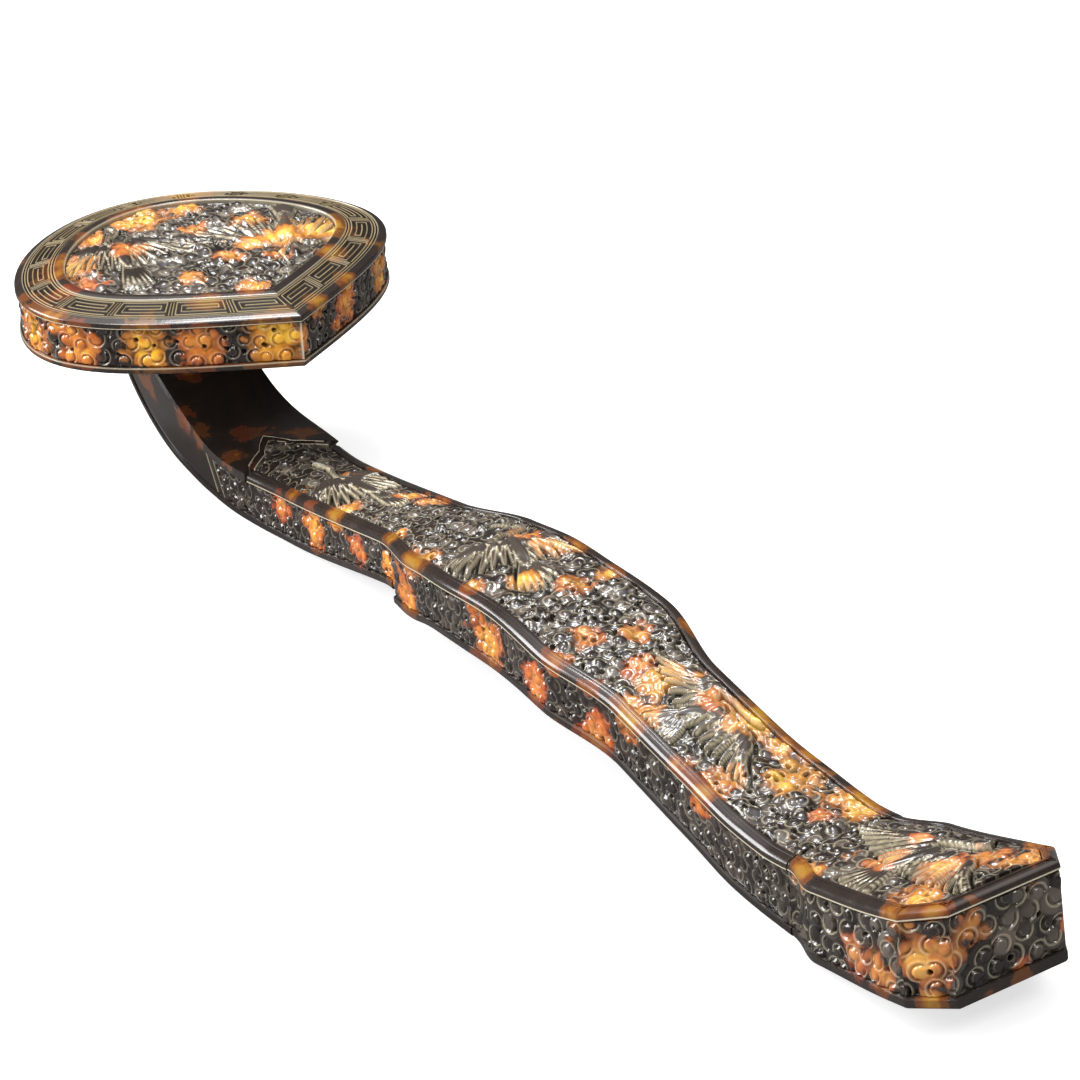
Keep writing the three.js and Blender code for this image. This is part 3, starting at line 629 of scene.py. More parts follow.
class CarvedChart:
    """Heights of a carved face laid flat, u along the face and v across it, in millimetres.

    The parts of a curl are shares of its radius. A crescent, lip or rim has its place and width.
    """

    curl_pitch = 1.36
    row_pitch = 0.87
    scatter = 0.17
    hole_radius = (0.42, 0.6)
    ball_offset = 0.26
    ball_radius = 0.42
    ball_rise = 0.02
    crescent = (0.44, 0.085)
    outer_crescent = (0.74, 0.06)
    outer_groove = 0.06
    lip = (0.58, 0.045)
    # Painted highlight: paleness painted along a curl's crescent lip and its rim, where these edges catch the
    # light.
    lip_glint = 0.42
    rim = (0.9, 0.05)
    rim_glint = 0.12
    quill_width = 0.26
    moat_cells = 4
    moat_rise = 0.1

    def __init__(self, u: Flat, v: Flat, ground: float, cell: float = 0.13) -> None:
        """Starts with level ground.

        Args:
            u: First and last place along the face.
            v: First and last place across the face.
            ground: Height of the ground between the clouds.
            cell: Width of a cell of the chart.
        """
        self.u0, self.v0, self.cell, self.ground = u[0], v[0], cell, ground
        shape = (int((u[1] - u[0]) / cell) + 2, int((v[1] - v[0]) / cell) + 2)
        self.height = np.full(shape, float(ground))
        self.lift, self.cream, self.jitter = (np.zeros(shape) for _ in range(3))

    def window(self, u: float, v: float, reach: float) -> Tuple[Spot, Array, Array]:
        """Cells near a place.

        Args:
            u: Place along the face.
            v: Place across it.
            reach: Distance to either side.

        Returns:
            The slices, which are empty off the chart, with each cell's distance along and across.
        """
        slices, away = [], []
        for place, first, count in zip((u, v), (self.u0, self.v0), self.height.shape):
            low = max(int((place - reach - first) / self.cell), 0)
            high = max(min(int((place + reach - first) / self.cell) + 2, count), low)
            slices.append(slice(low, high))
            away.append(first + np.arange(low, high) * self.cell - place)
        return tuple(slices), away[0][:, None], away[1][None, :]

    def segment(self, start: Flat, end: Flat, margin: float) -> Tuple[Spot, Array, Array, float]:
        """Cells near a straight segment.

        Args:
            start: Its start, along and across the face.
            end: Its end.
            margin: Distance past it on every side.

        Returns:
            The slices, each cell's place along it from its middle and across it, and its length.
        """
        u, v = end[0] - start[0], end[1] - start[1]
        reach = math.hypot(u, v) / 2 + margin
        spot, du, dv = self.window((start[0] + end[0]) / 2, (start[1] + end[1]) / 2, reach)
        length = max(math.hypot(u, v), 1e-3)
        u, v = u / length, v / length
        return spot, du * u + dv * v, du * -v + dv * u, length

    def lay(self, spot: Spot, height: Array, cream: Array, jitter: float) -> None:
        """Lays a form over what is there, where it stands higher."""
        above = height > self.height[spot]
        for chart, form in ((self.height, height), (self.cream, cream), (self.jitter, jitter)):
            chart[spot] = np.where(above, form, chart[spot])

    def curl(
        self, clouds: Clouds, u: float, v: float, radius: float, rise: float, turn: float, hand: int,
        jitter: float,
    ) -> None:
        """Cuts one cloud curl: a dome with a ball and crescents let in to one side, and a painted highlight
        along its crescent lip and its rim.

        Args:
            clouds: Curls of the face.
            u: Middle along the face.
            v: Middle across it.
            radius: Radius of the curl.
            rise: Height of its middle.
            turn: Way its ball lies, in turns.
            hand: 1 or -1, the way its crescents swing.
            jitter: Its own shift of colour.
        """
        spot, du, dv = self.window(u, v, radius)
        lean = 2 * math.pi * turn
        ball_u, ball_v = self.ball_offset * math.cos(lean), self.ball_offset * math.sin(lean)
        rho = np.hypot(du, dv) / radius
        near = np.hypot(du / radius - ball_u, dv / radius - ball_v)
        angle = np.arctan2(dv / radius - ball_v, du / radius - ball_u)
        swung = smoothstep(np.cos(angle - lean + math.pi + 0.7 * hand), -0.8, -0.2)
        ball = np.sqrt(np.clip(1 - (near / self.ball_radius) ** 2, 0, 1))
        edge = np.sqrt(np.clip((1 - rho) / clouds.edge_width, 0, 1))
        height = rise - clouds.dome_fall * radius * rho ** 2 + self.ball_rise * radius * ball
        height = height - clouds.groove * radius * (bell(near, *self.crescent) * swung)
        height = height - self.outer_groove * radius * (bell(near, *self.outer_crescent) * swung)
        height = height - (1 - edge) * (rise - self.ground)
        # Painted highlight: the crescent's lip and the curl's rim are painted pale.
        lip = self.lip_glint * (bell(near, *self.lip) * swung)
        pale = np.maximum(self.rim_glint * bell(rho, *self.rim), lip)
        self.lay(spot, np.where(rho < 1, height, self.ground), pale, jitter)

    def swell(self, u: float, v: float, along: float, across: float, rise: float, heading: float) -> None:
        """Raises a low rounded mass that the carving then lies over.

        Args:
            u: Middle along the face.
            v: Middle across it.
            along: Half length of the mass.
            across: Half width of the mass.
            rise: Height of its middle.
            heading: Way its length points, in radians.
        """
        spot, du, dv = self.window(u, v, max(along, across))
        ahead = (du * math.cos(heading) + dv * math.sin(heading)) / along
        aside = (dv * math.cos(heading) - du * math.sin(heading)) / across
        dome = rise * np.sqrt(np.clip(1 - ahead ** 2 - aside ** 2, 0, 1))
        self.lift[spot] = np.maximum(self.lift[spot], dome)

    def feather(
        self, start: Flat, end: Flat, width: float, rise: float, jitter: float, quill: float = 0.0,
    ) -> None:
        """Cuts one feather, limb or beak: a rounded form that tapers at its end.

        Args:
            start: Root, along and across.
            end: Tip, along and across.
            width: Half width in the middle.
            rise: Height of its back.
            jitter: Its own shift of colour.
            quill: Depth of the line down its middle, as a share of its width.
        """
        spot, along, across, length = self.segment(start, end, width)
        along = along + length / 2
        share = np.clip(along / length, 0, 1)
        half = width * np.sqrt(np.clip(1.12 - share ** 2.4, 0.02, 1)) * (0.75 + 0.25 * share)
        away = np.hypot(across, along - np.clip(along, 0, length)) / half
        body = np.sqrt(np.clip(1 - away ** 2, 0, 1))
        line = quill * width * np.clip(1 - np.abs(across) / self.quill_width, 0, 1)
        height = rise - 0.8 * width * (1 - body) - line
        pale = np.clip(1 - np.abs(away - 0.8) * half / 0.16, 0, 1)
        self.lay(spot, np.where(away < 1, height, self.ground), pale, jitter)

    def overlay(self, crane: "Crane") -> None:
        """Cuts a bird over the clouds, with a groove let in round it that the painted shade of the hollows
        darkens.

        Args:
            crane: The bird.
        """
        layer = copy(self)
        layer.ground = -9.0
        layer.height = np.full(self.height.shape, layer.ground)
        layer.cream, layer.jitter = (np.zeros(self.height.shape) for _ in range(2))
        crane.cut(layer)
        inside = layer.height > self.ground
        near = inside.astype(float)
        for axis in (0, 1) * self.moat_cells:
            near = np.maximum(near, np.maximum(np.roll(near, 1, axis), np.roll(near, -1, axis)))
        moat = (near > 0) & ~inside
        self.height = np.where(moat, np.minimum(self.height, self.ground + self.moat_rise), self.height)
        self.cream = np.where(moat, 0.0, self.cream)
        for name in ("height", "cream", "jitter"):
            setattr(self, name, np.where(inside, getattr(layer, name), getattr(self, name)))

    def hole(self, u: float, v: float, radius: float, depth: float) -> None:
        """Drills a small round hole.

        Args:
            u: Middle along the face.
            v: Middle across it.
            radius: Radius of the hole.
            depth: Height of its floor.
        """
        spot, du, dv = self.window(u, v, radius * 1.3)
        inside = smoothstep(-np.hypot(du, dv), -radius * 1.2, -radius * 0.8)
        self.height[spot] = self.height[spot] * (1 - inside) + depth * inside
        self.cream[spot] *= 1 - inside

    def raised_line(self, path: Sequence[Flat], width: float, rise: float) -> None:
        """Leaves a fine raised line along a path.

        Args:
            path: Corners of the path, along and across.
            width: Width of the line.
            rise: Height of the line.
        """
        for start, end in zip(path, path[1:]):
            spot, along, across, length = self.segment(start, end, width)
            past = np.clip(np.abs(along) - length / 2, 0, None)
            shape = smoothstep(-np.hypot(past, across) / (width / 2), -1.25, -0.55)
            self.lay(spot, self.ground + (rise - self.ground) * shape, shape, 0.0)

    def fill_with_curls(self, clouds: Clouds) -> List[Solid]:
        """Covers the chart with overlapping curls.

        Args:
            clouds: Curls of the face.

        Returns:
            The holes to drill, each by its place and radius.
        """
        rng = np.random.default_rng(SEED + clouds.seed)
        rows, columns = self.height.shape
        pitch = (clouds.radius[0] + clouds.radius[1]) / 2 * self.curl_pitch
        u_count = int(rows * self.cell / pitch) + 2
        v_count = int(columns * self.cell / (pitch * self.row_pitch)) + 2
        holes = []
        for j in range(v_count):
            for i in range(u_count):
                u = self.u0 + (i + 0.5 * (j % 2) + rng.uniform(-self.scatter, self.scatter)) * pitch
                v = self.v0 + (j + rng.uniform(-self.scatter, self.scatter)) * pitch * self.row_pitch
                size = rng.uniform(*clouds.radius)
                height = rng.uniform(*clouds.rise)
                turn = rng.uniform(0, 1)
                hand = int(rng.choice([-1, 1]))
                self.curl(clouds, u, v, size, height, turn, hand, rng.uniform(-1, 1))
                if rng.uniform() < clouds.holes:
                    angle = rng.uniform(0, 2 * math.pi)
                    spot = u + math.cos(angle) * size, v + math.sin(angle) * size
                    holes.append((*spot, rng.uniform(*self.hole_radius)))
        return holes

    def carve(self, clouds: Clouds, birds: Sequence["Crane"] = ()) -> None:
        """Cuts curls all over, birds over them and holes between the birds, and rounds the edges.

        Args:
            clouds: Curls and holes of the face.
            birds: Its cranes.
        """
        holes = self.fill_with_curls(clouds)
        for bird in birds:
            self.overlay(bird)
        for u, v, radius in holes:
            if not any(bird.covers(u, v) for bird in birds):
                self.hole(u, v, radius, self.ground - clouds.hole_depth)
        self.soften()

    def soften(self) -> None:
        """Rounds the cut edges by about one cell."""
        for axis in (0, 1, 0, 1):
            before = np.roll(self.height, 1, axis)
            after = np.roll(self.height, -1, axis)
            self.height = (before + 2 * self.height + after) / 4
        for axis in (0, 1) * 4:
            self.lift = (np.roll(self.lift, 2, axis) + self.lift + np.roll(self.lift, -2, axis)) / 3

    def sample(self, u: Array, v: Array) -> Dict[str, Array]:
        """Heights and painted values at places of the face.

        Args:
            u: Places along it.
            v: Places across it.

        Returns:
            Arrays by name: height, relief (painted shade of the hollows), crest value (painted highlight),
                pale lines with painted edge glints, and jitter.
        """
        reach = 3
        blurred = self.height
        for axis in (0, 1):
            blurred = (np.roll(blurred, reach, axis) + blurred + np.roll(blurred, -reach, axis)) / 3
        top = np.percentile(self.height, 99)
        charts = {
            "height": self.height + self.lift,
            # Painted shade: the share of height above the ground, by which the material darkens the hollows,
            # grooves and holes.
            "relief": np.clip((self.height - self.ground) / max(top - self.ground, 1e-3), 0, 1),
            # Painted highlight: how far each cell stands above its blurred surroundings, by which the
            # material paints crests paler.
            "crest_highlight": np.clip((self.height - blurred) / 0.16, -1, 1),
            "cream": self.cream,
            "jitter": self.jitter,
        }
        row = np.clip((u - self.u0) / self.cell, 0, self.height.shape[0] - 1.001)
        column = np.clip((v - self.v0) / self.cell, 0, self.height.shape[1] - 1.001)
        i, j = row.astype(int), column.astype(int)
        s, t = row - i, column - j
        out = {}
        for name, chart in charts.items():
            near = chart[i, j] * (1 - t) + chart[i, j + 1] * t
            far = chart[i + 1, j] * (1 - t) + chart[i + 1, j + 1] * t
            out[name] = near * (1 - s) + far * s
        return out


@dataclass(frozen=True)
class Crane:
    """A flying crane cut in relief, seen from above."""

    u: float
    v: float
    heading: float
    length: float
    span: float
    rise: float
    jitter: float = 0.0
    bend: float = 0.12
    feather: float = 1.05

    def spot(self, a: float, b: float) -> Flat:
        """Place on the chart of a point of the bird.

        Args:
            a: Distance forward, as a share of its length.
            b: Distance to its left, as a share of its half span.

        Returns:
            The place along and across the face.
        """
        forward = a * self.length
        left = b * self.span / 2
        angle = math.radians(self.heading)
        return (
            self.u + forward * math.cos(angle) - left * math.sin(angle),
            self.v + forward * math.sin(angle) + left * math.cos(angle),
        )

    def swell(self, chart: CarvedChart, rise: float) -> None:
        """Raises the masses under the bird: body, neck, tail and two wings.

        Args:
            chart: Chart of its face.
            rise: Height of the masses.
        """
        body, neck, tail = (0, 0, 0.2, 0.12, 0), (0.32, 0.1, 0.19, 0.05, 0.1), (-0.33, 0, 0.17, 0.14, 0)
        left, right = (-0.05, 0.54, 0.2, 0.16, -0.5), (-0.05, -0.54, 0.2, 0.16, 0.5)
        for forward, aside, along, across, turn in (body, neck, tail, left, right):
            heading = math.radians(self.heading) + turn
            chart.swell(*self.spot(forward, aside), along * self.length, across * self.span, rise, heading)

    def clear(self, u: float, v: float) -> bool:
        """Whether a place is clear of the bird's body and wings."""
        return math.hypot((u - self.u) / (self.length / 2), (v - self.v) / (self.span / 2)) > 1

    def covers(self, u: float, v: float) -> bool:
        """Whether a place lies on the bird."""
        angle = math.radians(self.heading)
        forward = (u - self.u) * math.cos(angle) + (v - self.v) * math.sin(angle)
        left = -(u - self.u) * math.sin(angle) + (v - self.v) * math.cos(angle)
        return abs(forward) < self.length * 0.5 and abs(left) < self.span * 0.42

    def cut(self, chart: CarvedChart) -> None:
        """Cuts the bird: tail, wings, body, neck, beak and head.

        Args:
            chart: Chart of its face.
        """
        wide, rise = self.feather, self.rise
        for i in range(6):
            spread = (i - 2.5) / 2.5
            root = self.spot(-0.14, 0.05 * spread)
            tip = self.spot(-0.5 + 0.06 * abs(spread), 0.24 * spread)
            chart.feather(root, tip, wide, rise - 0.35, self.jitter, 0.35)
        for hand in (-1, 1):
            self.cut_wing(chart, hand)
        chart.feather(self.spot(0.16, 0), self.spot(-0.2, 0), wide * 2.3, rise + 0.35, self.jitter)
        neck = [self.spot(0.12 + 0.055 * k, self.bend * math.sin(k * 0.8)) for k in range(7)]
        for start, end in zip(neck, neck[1:]):
            chart.feather(start, end, wide * 0.8, rise + 0.3, self.jitter)
        beak = self.spot(0.58, self.bend * 0.2)
        chart.feather(neck[-1], beak, wide * 0.4, rise + 0.1, self.jitter)
        chart.feather(neck[-2], neck[-1], wide * 1.1, rise + 0.45, 1.0)

    def cut_wing(self, chart: CarvedChart, hand: int) -> None:
        """Cuts one wing: long flight feathers, a row over them and broad ones at its front.

        Args:
            chart: Chart of its face.
            hand: 1 for the left wing, -1 for the right.
        """
        plumes = [(i / 9 * 0.92, 1.0, 0.85, -0.3, 0.4) for i in range(10)]
        plumes += [(i / 6 * 0.8, 0.6, 0.9, -0.05, 0.4) for i in range(7)]
        plumes += [(0.72 - i * 0.17, 0.3, 2.1, 0.2 + 0.04 * i, 0.0) for i in range(5)]
        for share, reach, wide, lift, quill in plumes:
            root_a = 0.12 + 0.16 * math.sin(math.pi * min(share * 0.85, 1)) - 0.14 * share ** 2
            root_b = 0.06 + 0.72 * share
            fan = math.radians(8 + 72 * share ** 1.4)
            long = (0.27 + 0.15 * math.sin(math.pi * share * 0.8)) * reach * self.length
            tip = self.spot(
                root_a - long * math.cos(fan) / self.length,
                hand * (root_b + long * math.sin(fan) / (self.span / 2)),
            )
            root = self.spot(root_a, hand * root_b)
            chart.feather(root, tip, self.feather * wide, self.rise + lift, self.jitter, quill)


@dataclass(frozen=True)
class CarvedMasses:
    """Main masses of a carved face: its cranes, and the cloud heads in rows between them."""

    spacing: float = 12.0
    cloud_along: float = 4.6
    cloud_across: float = 3.8
    crane_rise: float = 1.4
    cloud_rise: float = 1.1

    def raise_on(self, chart: CarvedChart, middle: float, reach: Flat, cranes: Sequence[Crane]) -> None:
        """Raises the masses.

        Args:
            chart: Chart of the face.
            middle: Place along the face of the middle of its clouds.
            reach: How far the clouds go along and across.
            cranes: Birds of the face.
        """
        for crane in cranes:
            crane.swell(chart, self.crane_rise)
        rows, columns = int(reach[1] / self.spacing), int(reach[0] / self.spacing)
        for row in range(-rows, rows + 1):
            stagger = 0 if row % 2 == 0 else self.spacing / 2
            for column in range(-columns, columns + 1):
                u, v = middle + column * self.spacing + stagger, row * self.spacing
                if all(crane.clear(u, v) for crane in cranes):
                    chart.swell(u, v, self.cloud_along, self.cloud_across, self.cloud_rise, 0.0)


class NodeTree:
    """Small helper that builds the nodes of a material or of the surroundings."""

    def __init__(self, owner: bpy.types.ID) -> None:
        """Clears the owner's nodes.

        Args:
            owner: Material or world.
        """
        owner.use_nodes = True
        self.owner = owner
        self.nodes = owner.node_tree.nodes
        self.links = owner.node_tree.links
        self.nodes.clear()

    def node(self, kind: str, inputs: Optional[dict] = None, **settings: object) -> Node:
        """Adds a node.

        Args:
            kind: Type of the node.
            inputs: Values or sockets to link, by input name or number.
            settings: Settings of the node.

        Returns:
            The node.
        """
        made = self.nodes.new(kind)
        for key, value in settings.items():
            setattr(made, key, value)
        for key, value in (inputs or {}).items():
            if isinstance(value, Socket):
                self.links.new(value, made.inputs[key])
            else:
                made.inputs[key].default_value = value
        return made

    def painted(self, name: str) -> Socket:
        """Value painted on the mesh."""
        return self.node("ShaderNodeAttribute", attribute_name=name, attribute_type="GEOMETRY").outputs["Fac"]

    def math(self, kind: str, *values: object) -> Socket:
        """Result of a sum on up to three values or sockets."""
        return self.node("ShaderNodeMath", dict(enumerate(values)), operation=kind).outputs[0]

    def scaled(self, value: Socket, *ends: float) -> Socket:
        """Value moved from one range, low and high, to another."""
        return self.node("ShaderNodeMapRange", dict(enumerate((value, *ends)))).outputs[0]

    def mix(self, share: object, first: object, second: object, kind: str = "MIX") -> Socket:
        """Blend of two colours."""
        inputs = {0: share, 6: first, 7: second}
        return self.node("ShaderNodeMix", inputs, data_type="RGBA", blend_type=kind).outputs[2]

    def ramp(self, share: Socket, stops: Sequence[Tuple[float, Solid]]) -> Socket:
        """Colour that changes with a value.

        Args:
            share: The value.
            stops: Places and colours.

        Returns:
            The colour.
        """
        made = self.node("ShaderNodeValToRGB", {"Fac": share})
        strip = made.color_ramp.elements
        while len(strip) < len(stops):
            strip.new(0.5)
        for element, (place, colour) in zip(strip, stops):
            element.position = place
            element.color = (*colour, 1)
        return made.outputs["Color"]

    def noise(
        self, scale: float, detail: float = 2, roughness: float = 0.5, distortion: float = 0,
    ) -> Socket:
        """Soft noise in the piece's own place.

        Args:
            scale: Waves for each metre.
            detail: Finer waves laid over it.
            roughness: Strength of the finer waves.
            distortion: How much it is stirred.

        Returns:
            Its value.
        """
        inputs = {"Scale": scale, "Detail": detail, "Roughness": roughness, "Distortion": distortion}
        inputs["Vector"] = self.node("ShaderNodeTexCoord").outputs["Object"]
        return self.node("ShaderNodeTexNoise", inputs).outputs["Fac"]

    def bump(self, height: Socket, strength: float, distance: float) -> Socket:
        """Fine grain of a surface, from a value and how far that stands out in metres."""
        inputs = {"Height": height, "Strength": strength, "Distance": distance}
        return self.node("ShaderNodeBump", inputs).outputs[0]

    def surface(self, shader: Node) -> bpy.types.Material:
        """The material, once a shader is its surface."""
        self.node("ShaderNodeOutputMaterial", {"Surface": shader.outputs[0]})
        return self.owner


def colour(red: float, green: float, blue: float) -> Solid:
    """Turns a seen colour, each part from 0 to 255, into the linear one that shaders take."""
    parts = (part / 255 for part in (red, green, blue))
    return tuple(p / 12.92 if p <= 0.04045 else ((p + 0.055) / 1.055) ** 2.4 for p in parts)


@dataclass(frozen=True)
class TortoiseshellFinish:
    """Polished tortoiseshell: near-black brown with amber, orange and yellow clouds, with painted shade in
    the carving's hollows, painted highlights on its crests and the curls' edges, and a partly painted grey
    sheen on dark curls.
    """

    name: str
    roughness: float
    wild: float
    # line: strength of the pale lines, and of the painted glints along the curls' edges.
    line: float
    light: float = 0.9
    warmth: float = 1.0
    # How grey the dark curls turn: partly the shell's smoky tone, partly a painted silvery sheen.
    smoke: float = 0.0
    muted: float = 0.0
    spread: float = 0.0
    coat: float = 0.4
    specular: float = 0.5
    dark: Shade = (30, 24, 23)
    pale: Shade = (216, 204, 176)
    warm: Tuple[Shade, ...] = ((40, 28, 25), (92, 38, 24), (166, 68, 28), (208, 106, 38), (224, 138, 58))
    gold: Tuple[Shade, ...] = ((42, 31, 25), (92, 58, 26), (168, 98, 34), (230, 148, 34), (255, 192, 44))
    smoke_and_sheen_colour: Shade = (104, 95, 86)
    silk: float = 0.16
    silk_colour: Shade = (96, 84, 72)
    refraction: float = 1.55
    coat_roughness: float = 0.08

    def glow(self, red: int, green: int, blue: int) -> Solid:
        """A light colour of the shell, as strong as this finish shows it."""
        grey = (red + green + blue) / 3
        parts = [part + (grey - part) * self.muted for part in (red, green, blue)]
        return colour(*(part * self.warmth for part in parts))

    def shades(self, tree: NodeTree, stir: Socket, *seen: Shade) -> Socket:
        """Shell from dark to light.

        Args:
            tree: Nodes of the material.
            stir: How light the shell is.
            seen: Its five colours over the dark one, of which the last three are light.

        Returns:
            The colour.
        """
        low, edge = (colour(*part) for part in seen[:2])
        light = [self.glow(*part) for part in seen[2:]]
        places = (0.0, 0.36, 0.42, 0.5 + self.spread, 0.8, 1.0)
        return tree.ramp(stir, list(zip(places, (colour(*self.dark), low, edge, *light))))

    def material(self) -> bpy.types.Material:
        """Builds the material.

        Returns:
            The material.
        """
        tree = NodeTree(bpy.data.materials.new(self.name))
        small = tree.noise(190, 2, 0.5, 0.3)
        fine = tree.noise(1400, 2, 0.6)
        jitter = tree.painted("jitter")
        stray = tree.scaled(tree.noise(42, 3, 0.55, 0.4), self.wild, self.wild + 0.16, 0.0, 0.7)
        stir = tree.math("MULTIPLY", tree.math("MAXIMUM", tree.painted("patch"), stray), self.light)
        for wave, strength in ((small, 1.1), (tree.noise(520, 1, 0.5), 0.35)):
            stir = tree.math("MULTIPLY_ADD", tree.math("SUBTRACT", wave, 0.5), strength, stir)
        stir = tree.math("MULTIPLY_ADD", jitter, 0.16, stir)
        warm, gold = (self.shades(tree, stir, *seen) for seen in (self.warm, self.gold))
        shell = tree.mix(tree.painted("hue"), warm, gold)
        # Dark curls with a high jitter turn grey: partly the shell's smoky tone, partly a painted silvery
        # sheen.
        smoke = tree.math("MULTIPLY", tree.math("MAXIMUM", jitter, 0.0), self.smoke)
        smoke = tree.math("MULTIPLY", smoke, tree.math("LESS_THAN", stir, 0.4))
        shell = tree.mix(smoke, shell, (*colour(*self.smoke_and_sheen_colour), 1))
        silk = tree.mix(tree.math("MULTIPLY", fine, self.silk), shell, (*colour(*self.silk_colour), 1))
        # Painted shade: the colour darkens towards the carving's ground, down to 12 percent in the hollows
        # and holes.
        depth = tree.scaled(tree.painted("relief"), 0.0, 0.7, 0.12, 1.0)
        shade = tree.node("ShaderNodeCombineColor", {0: depth, 1: depth, 2: depth}).outputs[0]
        # Painted highlight: crests are mixed a little towards the pale colour.
        crest_highlight = tree.scaled(tree.painted("crest_highlight"), 0.5, 1.0, 0.0, 0.1)
        # Pale lines of the carving, with painted glints along the curls' edges and the painted crest
        # highlight, mixed towards the pale colour.
        line = tree.math("MAXIMUM", tree.math("MULTIPLY", tree.painted("cream"), self.line), crest_highlight)
        shader = tree.node("ShaderNodeBsdfPrincipled", {
            "Base Color": tree.mix(line, tree.mix(1.0, silk, shade, "MULTIPLY"), (*colour(*self.pale), 1)),
            "Roughness": tree.scaled(small, 0.3, 0.7, self.roughness * 0.75, self.roughness * 1.3),
            "Normal": tree.bump(fine, 0.12, 0.0001),
            "IOR": self.refraction,
            "Specular IOR Level": self.specular,
            "Coat Weight": self.coat,
            "Coat Roughness": self.coat_roughness,
        })
        return tree.surface(shader)

    def dress(self, slot: str) -> Dress:
        """The built finish, for pieces of a material slot."""
        return Dress(self.material(), slot)


@dataclass(frozen=True)
class WoodFinish:
    """Plain wood for the hidden core, with grain along the sceptre."""

    name: str
    light: Shade
    dark: Shade
    roughness: float = 0.6
    grain_scale: Solid = (60, 900, 900)

    def material(self) -> bpy.types.Material:
        """Builds the material.

        Returns:
            The material.
        """
        tree = NodeTree(bpy.data.materials.new(self.name))
        place = tree.node("ShaderNodeTexCoord").outputs["Object"]
        stretched = tree.node("ShaderNodeMapping", {"Vector": place, "Scale": self.grain_scale}).outputs[0]
        wave = {"Vector": stretched, "Scale": 1.0, "Detail": 4.0}
        grain = tree.node("ShaderNodeTexNoise", wave).outputs["Fac"]
        shader = tree.node("ShaderNodeBsdfPrincipled", {
            "Base Color": tree.ramp(grain, [(0.3, colour(*self.dark)), (0.7, colour(*self.light))]),
            "Normal": tree.bump(grain, 0.3, 0.0002),
            "Roughness": self.roughness,
        })
        return tree.surface(shader)


@dataclass(frozen=True)
class Stretch:
    """A stretch of plate over the ribs, with the run of its first and last edge at each place across."""

    path: RibPath
    share: Array
    start: Array
    end: Array

    def grid(self, rows: int) -> Array:
        """Runs of a grid of so many rows over the stretch."""
        return self.start + (self.end - self.start) * np.linspace(0, 1, rows)[:, None]

    def fine_grid(self, spacing: float) -> Array:
        """Runs of a grid whose rows lie about a spacing apart."""
        return self.grid(int((self.end.max() - self.start.min()) / spacing))

    def chart(self, v: Flat, ground: float) -> CarvedChart:
        """Level chart of the stretch, 2 mm longer at both ends, from one v to the other across."""
        return CarvedChart((float(self.start.min()) - 2, float(self.end.max()) + 2), v, ground)


